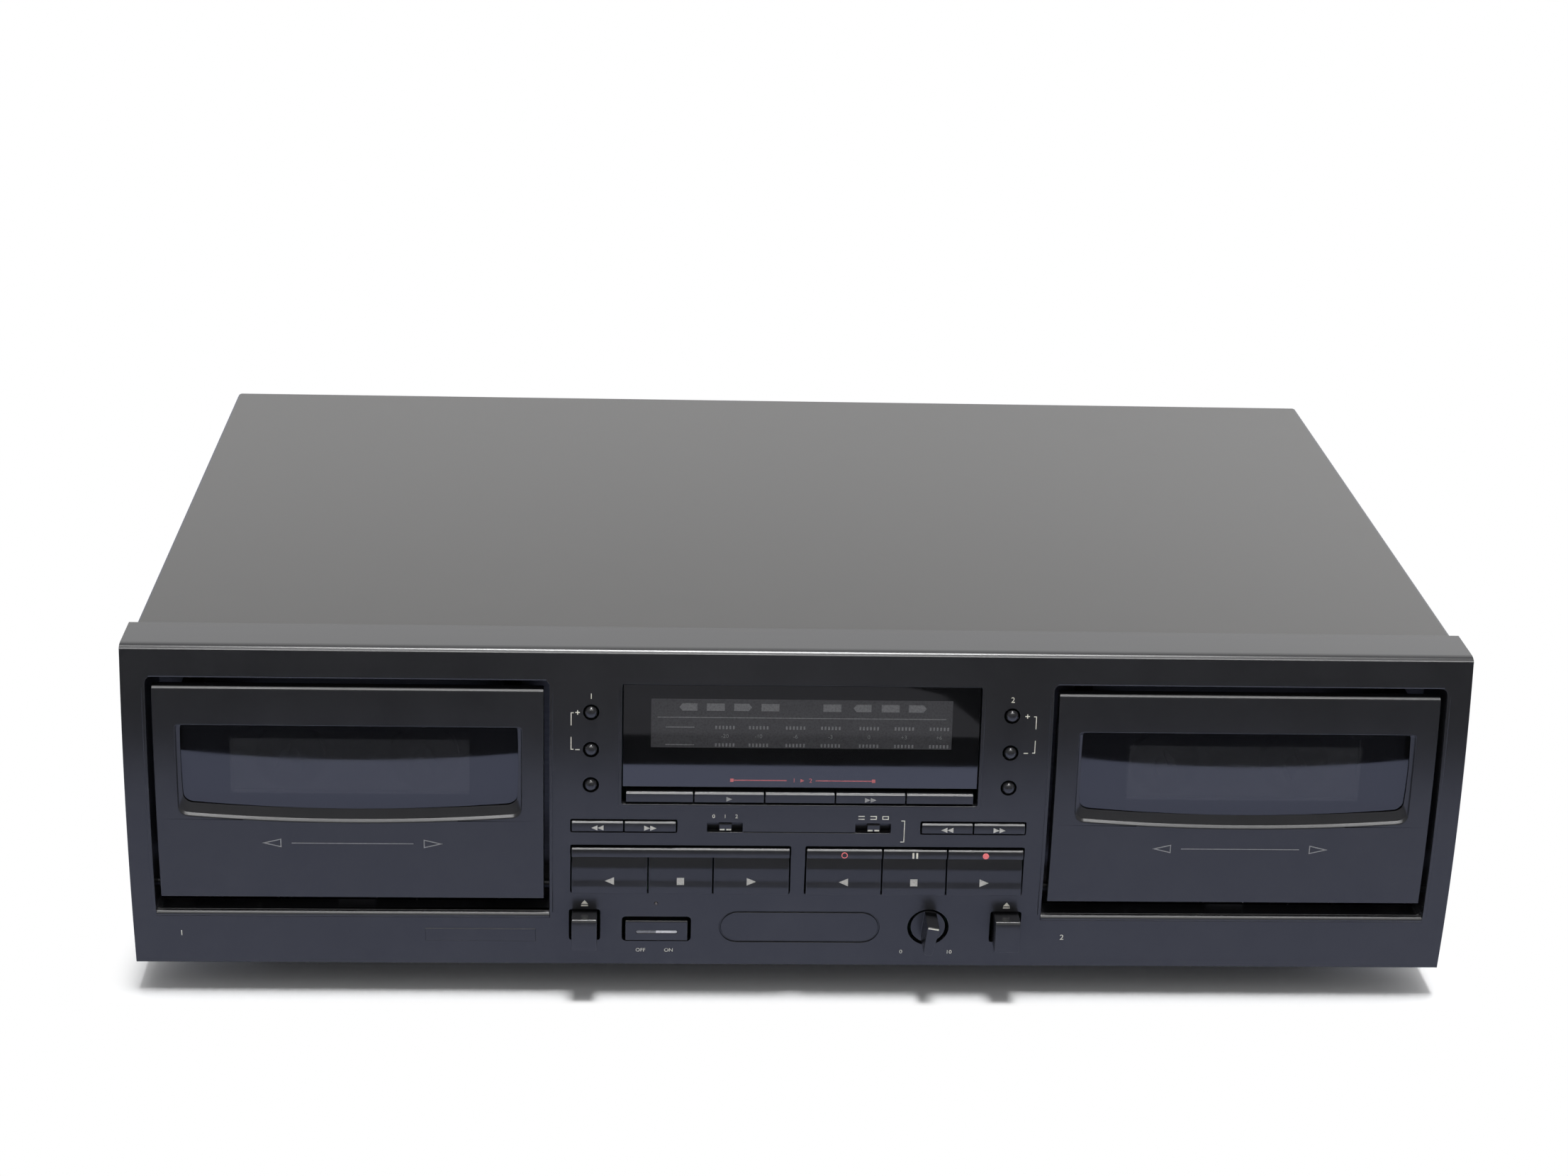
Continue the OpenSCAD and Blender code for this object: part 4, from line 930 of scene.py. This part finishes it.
# Top cover
# One sheet of steel folded over the top and both sides, with a lip at the back, in a dark grey satin paint.
COVER_HALF = 207.7
COVER_FRONT, COVER_REAR = FRONT + 19.0, FRONT + 262.0
COVER_LOW, COVER_LIP, COVER_TOP = 12.6, 108, 118.9
FOLD, SHEET = 1.4, 0.8
cover = block("cover_sheet", about(0, COVER_HALF), (COVER_FRONT, COVER_REAR), (COVER_LOW, COVER_TOP))
take_all()
bpy.ops.mesh.bisect(plane_co=(0, 0, COVER_LIP * MM), plane_no=(0, 0, 1))
leave()
pick(cover, "FACE", lambda centre, normal: normal.z < -0.9 or normal.y < -0.9
    or (normal.y > 0.9 and centre.z < COVER_LIP))
bpy.ops.mesh.delete(type="FACE")
leave()
for edge in cover.data.edges:
    ends = [cover.data.vertices[i].co / MM for i in edge.vertices]
    along_top = all(p.z > COVER_TOP - 0.1 for p in ends)
    front_end = all(p.y < COVER_FRONT + 0.1 for p in ends)
    upright = abs(ends[0].x - ends[1].x) < 0.1
    corner = upright and all(p.y > COVER_REAR - 0.1 and p.z > COVER_LIP - 0.1 for p in ends)
    edge.select = (along_top and not front_end) or corner
enter()
bpy.ops.mesh.select_mode(type="EDGE")
leave()
enter()
bpy.ops.mesh.bevel(offset=FOLD * MM, segments=4, clamp_overlap=True)
leave()
step = cover.modifiers.new("sheet", "SOLIDIFY")
step.thickness = SHEET * MM
step.offset = -1
finish_step(cover, step)
bpy.ops.object.shade_smooth_by_angle(angle=math.radians(35))
cover_paint = moulded("cover_paint", (0.04, 0.039, 0.038), 0.42, 2600, 0.04)
fit(cover, cover_paint, "case", "top_cover")

# Tray and rear panel
# The tray is zinc-plated sheet, with flanges up both sides; the rear panel is sheet with a dark satin paint.
# Both keep their solids, with holes punched for the sockets and screws.


def paint_node(node, material):
    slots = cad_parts[node].data.materials
    for i in range(len(slots)):
        slots[i] = material
    if not slots:
        slots.append(material)


def metal(name, colour, roughness, streaks):
    """Bare or plated metal: fine streaks along the way it was rolled or turned, in colour and gloss."""
    material, tree = surface(name, {"Metallic": 1.0})
    stretched = add_node(tree, "Mapping", {"Vector": by_place(tree), "Scale": streaks})
    grain = noise(tree, 1.0, 4.0, stretched.outputs["Vector"])
    vary_colour(tree, grain, (0.25, 0.75), [c * 0.8 for c in colour], [min(c * 1.15, 1) for c in colour])
    vary_gloss(tree, grain, roughness - 0.1, roughness + 0.1)
    raise_grain(tree, grain, 0.3, 0.01)
    return material


zinc_steel = metal("zinc_steel", (0.52, 0.53, 0.54), 0.42, (60, 700, 700))
rear_paint = moulded("rear_paint", (0.022, 0.0222, 0.023), 0.48, 2400, 0.05, 0.1)
paint_node("bottom_chassis", zinc_steel)
paint_node("rear_panel", rear_paint)

# Feet
# Four round feet, each a plastic cup with a narrower rubber pad, hollow below for the screw that holds it.
foot_rubber = moulded("foot_rubber", (0.014, 0.014, 0.0145), 0.62, 1500, 0.08)
FOOT_X, FEET_BEHIND, FOOT_RADIUS, FOOT_TALL, CUP_LOW = 170, (45.0, 217.0), 17.0, 12.6, 3.6
PAD_STEP, PAD_WALL, PAD_HOLLOW = 1.6, 4.0, 5.0
feet = []
for side, hand in SIDES:
    for behind in FEET_BEHIND:
        middle = (side * FOOT_X, FRONT + behind, (FOOT_TALL + CUP_LOW) / 2)
        foot = cylinder("case_feet", middle, FOOT_RADIUS, FOOT_TALL - CUP_LOW, 48)
        pick(foot, "FACE", lambda centre, normal: normal.z < -0.9)
        bpy.ops.mesh.inset(thickness=PAD_STEP * MM)
        push(z=-CUP_LOW)
        bpy.ops.mesh.inset(thickness=PAD_WALL * MM)
        push(z=PAD_HOLLOW)
        leave()
        feet.append(soften(foot, 0.6, 3))
fit(joined(feet), foot_rubber, "case", "feet")

# Case screws
# Black pan-head screws with a cross recess, two through each side of the cover and three through its lip.
screw_black = metal("screw_black", (0.03, 0.03, 0.031), 0.45, (500, 500, 500))
HEAD_RADIUS, HEAD_TALL, SHANK_RADIUS, SHANK_LONG = 3.4, 1.8, 1.5, 2.0
HEAD_ROUND = 1.0
SIDE_SCREW_AT, SIDE_SCREWS_BEHIND = 24.6, (60.0, 215.0)
LIP_SCREW_AT, LIP_SCREWS_X = 113.5, (-150.0, 0.0, 150.0)
CROSS_HALF, CROSS_HALF_WIDE, CROSS_FLOOR = 2.0, 0.45, 0.7
places = [((side * COVER_HALF, FRONT + behind, SIDE_SCREW_AT), (0, side * math.pi / 2, 0))
    for side, hand in SIDES for behind in SIDE_SCREWS_BEHIND]
places += [((x, COVER_REAR, LIP_SCREW_AT), (-math.pi / 2, 0, 0)) for x in LIP_SCREWS_X]
screws = []
for place, turned in places:
    screw = cylinder("case_screws", (0, 0, HEAD_TALL / 2), HEAD_RADIUS, HEAD_TALL, 32)
    pick(screw, "EDGE", lambda a, b: min(a.z, b.z) > HEAD_TALL - 0.01)
    bpy.ops.mesh.bevel(offset=HEAD_ROUND * MM, segments=4)
    leave()
    for x, y in ((CROSS_HALF, CROSS_HALF_WIDE), (CROSS_HALF_WIDE, CROSS_HALF)):
        carve(screw, block("cross", about(0, x), about(0, y), (CROSS_FLOOR, HEAD_TALL + 1)))
    pick(screw, "FACE", lambda centre, normal: normal.z < -0.9 and centre.z < 0.1)
    bpy.ops.mesh.inset(thickness=(HEAD_RADIUS - SHANK_RADIUS) * MM)
    push(z=-SHANK_LONG)
    leave()
    bpy.ops.object.shade_smooth_by_angle(angle=math.radians(40))
    screw.location = [c * MM for c in place]
    screw.rotation_euler = turned
    settle()
    screws.append(screw)
fit(joined(screws), screw_black, "case", "cover_screws")

# Phono jacks and cord gland
# Four jacks on one block behind the rear panel: nickel shells round white and red insulators, in a printed
# frame. The gland is a ribbed plastic bush, pressed into its hole.
jack_plastic = moulded("jack_plastic", (0.016, 0.016, 0.0165), 0.45, 2400, 0.03)
bright_steel = metal("bright_steel", (0.72, 0.71, 0.68), 0.24, (400, 60, 400))
JACKS_X, JACKS_AT = (120.0, 134.0), (24.0, 38.0)
JACK_RADIUS, JACK_BORE, PLUG_HOLE = 4.15, 3.4, 1.65
JACK_FOOT, JACK_FLOOR, JACK_END = FRONT + 260.3, FRONT + 262.0, FRONT + 269.95
BLOCK_BACK, INSULATOR_FOOT, PLUG_FLOOR = FRONT + 260.35, FRONT + 262.05, FRONT + 263.5
REAR_FACE = FRONT + 261.2
REAR_FRAME, REAR_LINE = (127.0, 31.0, 31.0, 33.0), 0.35
REAR_ARROW_AT, REAR_ARROW_HALF, REAR_ARROW_RISE = 50.2, 1.6, 1.2
JACK_TONES = (("red", (0.45, 0.02, 0.02)), ("white", (0.72, 0.7, 0.64)))
low, high = [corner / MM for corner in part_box("line_jacks")]
jack_block = block("jack_block", (low.x, high.x), (low.y, BLOCK_BACK), (low.z, high.z), 1.0)
fit(soften(jack_block, 0.3), jack_plastic, "case", "line_jacks")
for row, (tone, colour) in zip(JACKS_AT, JACK_TONES):
    insulator_plastic = moulded("jack_" + tone, colour, 0.4, 2000, 0.02, 0.06)
    for i, x in enumerate(JACKS_X):
        shell = rod("jack_shell_%s_%d" % (tone, i), x, row, JACK_RADIUS, (JACK_FOOT, JACK_END), 48)
        carve(shell, rod("bore", x, row, JACK_BORE, (JACK_FLOOR, JACK_END + 2), 48))
        fit(soften(shell, 0.15), bright_steel, "case")
        insulator_long = (INSULATOR_FOOT, JACK_END - 1.2)
        insulator = rod("jack_insulator_%s_%d" % (tone, i), x, row, JACK_BORE - 0.02, insulator_long, 48)
        carve(insulator, rod("bore", x, row, PLUG_HOLE, (PLUG_FLOOR, JACK_END + 2), 32))
        fit(soften(insulator, 0.2), insulator_plastic, "case")
rear_marks = [(oblong(*REAR_FRAME), REAR_LINE)]
for x, way in zip(JACKS_X, (1, -1)):
    foot, tip = about(REAR_ARROW_AT, REAR_ARROW_RISE * way)
    left, right = about(x, REAR_ARROW_HALF)
    rear_marks.append(([(left, foot), (right, foot), (x, tip)], 0.0))
for i, (outline, hollow) in enumerate(rear_marks):
    fit(plate("rear_print_%d" % i, outline, about(REAR_FACE, 0.05), hollow), print_cream, "case")
low, high = [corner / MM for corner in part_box("cord_gland")]
GLAND = ((low.x + high.x) / 2, (low.z + high.z) / 2 - FLOOR_UNDER_PANEL)
BUSH_RADIUS = (high.x - low.x) / 2
COLLAR_STEP, COLLAR_SHORT, CORD_BORE = 2.2, 0.6, 3.2
FLUTE_RADIUS, FLUTE_REACH = 0.5, BUSH_RADIUS + 0.15
gland = rod("gland_bush", *GLAND, BUSH_RADIUS, (REAR_FACE, high.y), 48)
carve(gland, rod("collar", *GLAND, BUSH_RADIUS - COLLAR_STEP, (low.y, high.y - COLLAR_SHORT), 48), "UNION")
carve(gland, rod("bore", *GLAND, CORD_BORE, (low.y - 2, high.y + 2), 40))
for a in turns(0, 360, 30):
    flute = (GLAND[0] + FLUTE_REACH * math.cos(a), GLAND[1] + FLUTE_REACH * math.sin(a))
    carve(gland, rod("flute", *flute, FLUTE_RADIUS, (REAR_FACE - 1, high.y + 1), 12))
fit(soften(gland, 0.2), jack_plastic, "case", "cord_gland")

# Boards, display tube and transformer
# Green boards with tinned tracks, a dim glass tube behind the display, and a transformer of stacked plates.


def patterned(name, pattern, sockets, first, second, roughness):
    """A surface in two colours, parted by a regular pattern; the pattern also stands out a little."""
    material, tree = surface(name, {"Roughness": roughness})
    figure = add_node(tree, pattern, {"Vector": by_place(tree), **sockets}).outputs["Fac"]
    vary_colour(tree, figure, (0.45, 0.55), first, second)
    raise_grain(tree, figure, 0.4, 0.05)
    return material


board_green = patterned("board_green", "TexBrick", {"Scale": 90.0, "Mortar Size": 0.06},
    (0.012, 0.075, 0.03), (0.05, 0.17, 0.07), 0.4)
core_iron = patterned("core_iron", "TexWave", {"Scale": 260.0, "Distortion": 0.6},
    (0.05, 0.045, 0.04), (0.13, 0.12, 0.11), 0.5)
display_tube = patterned("display_tube", "TexWave", {"Scale": 120.0, "Distortion": 0.0},
    (0.02, 0.021, 0.023), (0.03, 0.031, 0.034), 0.15)
for node, material in (("control_board", board_green), ("main_board", board_green),
        ("power_transformer", core_iron), ("display_module", display_tube)):
    paint_node(node, material)

# Tape mechanisms and cassette holders
# Zinc-plated frames carry the motors, turned flywheels, belts and heads; the holders and reel spindles are
# moulded in a dull black plastic, and the hinge pins are blackened steel. The holders' and spindles' black is
# painted shade as well: darker than the panel's, so that they read as deep shade in the door gaps.
# Black plastic with painted shade: darkened well below the panel's black so that the holders in the door gaps
# read as deep shade.
holder_plastic = moulded("holder_plastic", (0.005, 0.005, 0.0053), 0.72, 2600, 0.03)
flywheel_metal = metal("flywheel_metal", (0.6, 0.56, 0.46), 0.3, (500, 500, 500))
belt_rubber = moulded("belt_rubber", (0.011, 0.011, 0.011), 0.7, 1800, 0.05)
frame_steel = metal("frame_steel", (0.3, 0.3, 0.31), 0.45, (60, 700, 700))
for node, material in (("mechanism_frames", frame_steel), ("drive_motors", zinc_steel),
        ("drive_belts", belt_rubber), ("head_blocks", bright_steel), ("door_hinge_pins", screw_black)):
    paint_node(node, material)
for side, hand in SIDES:
    paint_node(hand + "_holder", holder_plastic)
    for reel in ("supply", "takeup"):
        paint_node(hand + "_" + reel + "_spindle", holder_plastic)
        paint_node(hand + "_" + reel + "_flywheel", flywheel_metal)

# Camera
# Placed where the photograph was taken from, a metre in front of the deck and looking down on it.
CAMERA_AT = [-0.051254, -0.966493, 0.459416]
YAW, PITCH, ROLL = 0.053, 0.364, -0.03
lens = bpy.data.cameras.new("camera")
lens.sensor_width = 36.0
lens.lens = 67.19
lens.clip_end = 50.0
camera = bpy.data.objects.new("camera", lens)
bpy.context.scene.collection.objects.link(camera)
turned = Matrix.Rotation(-YAW, 4, "Z") @ Matrix.Rotation(math.pi / 2 - PITCH, 4, "X")
camera.matrix_world = Matrix.Translation(CAMERA_AT) @ turned @ Matrix.Rotation(-ROLL, 4, "Z")
bpy.context.scene.camera = camera

# Floor and light
# A white table under a soft light overhead, in a room that is bright behind the deck and dim in front of it.
# Away from the deck and in front of it the table goes over into plain white; beneath, it keeps the shadow.


def fade(tree, value, start, stop, strength=1.0):
    """A soft step: nought where the value is at the start, the full strength where it is at the stop."""
    sockets = {"Value": value, "From Min": start, "From Max": stop, "To Max": strength}
    step = add_node(tree, "MapRange", sockets)
    step.interpolation_type = "SMOOTHSTEP"
    return step.outputs["Result"]


def white_rays(tree):
    """One for the rays that show a background: those of the camera, of mirrors and of glass."""
    path = add_node(tree, "LightPath")
    total = path.outputs["Is Camera Ray"]
    for ray in ("Is Glossy Ray", "Is Transmission Ray"):
        total = combine(tree, "MAXIMUM", total, path.outputs[ray])
    return total


deselect()
bpy.ops.mesh.primitive_plane_add(size=24.0)
floor = fresh("floor")
table_white, tree = surface("table_white",
    {"Base Color": (0.94, 0.945, 0.955, 1), "Roughness": 0.8, "Specular IOR Level": 0.1})
DECK_HALF = (0.205, 0.131, 0.0)
FADE_WIDE, FADE_FRONT, FADE_END = 0.02, -0.1335, -0.1385
sheen = add_node(tree, "Mix")
sheen.data_type = "RGBA"
sheen.inputs["A"].default_value = (0.73, 0.8, 1.15, 1)
sheen.inputs["B"].default_value = (1, 1, 1, 1)
seen = add_node(tree, "LightPath")
tree.links.new(seen.outputs["Is Camera Ray"], sheen.inputs["Factor"])
white = add_node(tree, "Emission", {"Color": sheen.outputs["Result"], "Strength": 1.0})
where = by_place(tree)
aside = add_node(tree, "VectorMath", {0: where}, "ABSOLUTE").outputs[0]
beyond = add_node(tree, "VectorMath", {0: aside, 1: DECK_HALF}, "SUBTRACT").outputs[0]
clear_of = add_node(tree, "VectorMath", {0: beyond}, "MAXIMUM").outputs[0]
away = add_node(tree, "VectorMath", {0: clear_of}, "LENGTH").outputs["Value"]
apart = add_node(tree, "SeparateXYZ", {0: where})
far = fade(tree, away, 0.0, FADE_WIDE)
in_front = fade(tree, apart.outputs["Y"], FADE_FRONT, FADE_END)
share = combine(tree, "MULTIPLY", combine(tree, "MAXIMUM", far, in_front), white_rays(tree))
matt = tree.nodes["Principled BSDF"]
mixed = add_node(tree, "MixShader", {0: share, 1: matt.outputs[0], 2: white.outputs[0]})
tree.links.new(mixed.outputs[0], tree.nodes["Material Output"].inputs["Surface"])
dress(floor, table_white)

FLAGS = (("black_flag", (-4.0, 4.0), (-0.36, -6.0), 0.001, 0.004),
    ("grey_flag", (-0.08, 0.1), (-0.445, -0.95), 0.002, 0.24))
for name, across_floor, ahead_of, above, tone in FLAGS:
    deselect()
    bpy.ops.mesh.primitive_plane_add(size=2)
    flag = fresh(name)
    for point in flag.data.vertices:
        point.co = (across_floor[point.co.x > 0], ahead_of[point.co.y > 0], above)
    cloth, tree = surface(name, {})
    dark = add_node(tree, "Emission", {"Color": (tone, tone, tone * 1.1, 1), "Strength": 1.0})
    tree.links.new(dark.outputs[0], tree.nodes["Material Output"].inputs["Surface"])
    dress(flag, cloth)
    flag.visible_camera = False
    flag.visible_diffuse = False
    flag.visible_shadow = False

ROOM = 0.3
PATCHES = (((0.03, -0.05, 1.0), 3, 7, 98.0), ((0.15, 0.92, 0.38), 20, 62, 0.98),
    ((0.75, 0.62, 0.3), 5, 45, 0.35))
sky = bpy.data.worlds.new("sky")
bpy.context.scene.world = sky
sky.use_nodes = True
tree = sky.node_tree
room = tree.nodes["Background"]
room.inputs["Color"].default_value = (1, 1, 1, 1)
direction = add_node(tree, "TexCoord").outputs["Generated"]
base = add_node(tree, "Value")
base.outputs[0].default_value = ROOM
total = base.outputs[0]
for toward, inner, outer, strength in PATCHES:
    length = math.sqrt(sum(c * c for c in toward))
    dot = add_node(tree, "VectorMath", {0: direction, 1: [c / length for c in toward]}, "DOT_PRODUCT")
    edge, core = math.cos(math.radians(outer)), math.cos(math.radians(inner))
    total = combine(tree, "ADD", total, fade(tree, dot.outputs["Value"], edge, core, strength))
tree.links.new(total, room.inputs["Strength"])
backdrop = add_node(tree, "Background", {"Color": (1, 1, 1, 1), "Strength": 1.0})
path = add_node(tree, "LightPath")
seen = path.outputs["Is Camera Ray"]
shown = add_node(tree, "MixShader", {0: seen, 1: room.outputs[0], 2: backdrop.outputs[0]})
tree.links.new(shown.outputs[0], tree.nodes["World Output"].inputs["Surface"])

# Strip lamp
# A long narrow lamp in front and high up, which draws the bright lines along the tops of the doors and keys.
LAMP_TOWARD, LAMP_FAR = Vector((0.0, -0.5, 0.86)).normalized(), 2.4
GLOW_LONG, GLOW_WIDE, GLOW_POWER = 2.2, 0.22, 32.0
glow = bpy.data.lights.new("strip_lamp", "AREA")
glow.shape = "RECTANGLE"
glow.size = GLOW_LONG
glow.size_y = GLOW_WIDE
glow.energy = GLOW_POWER
lamp = bpy.data.objects.new("strip_lamp", glow)
bpy.context.scene.collection.objects.link(lamp)
lamp.location = LAMP_TOWARD * LAMP_FAR + Vector((0, FRONT, PANEL_TALL / 2)) * MM
lamp.rotation_euler = LAMP_TOWARD.to_track_quat("Z", "Y").to_euler()
lamp.visible_diffuse = False
bpy.context.scene.view_settings.view_transform = "Standard"
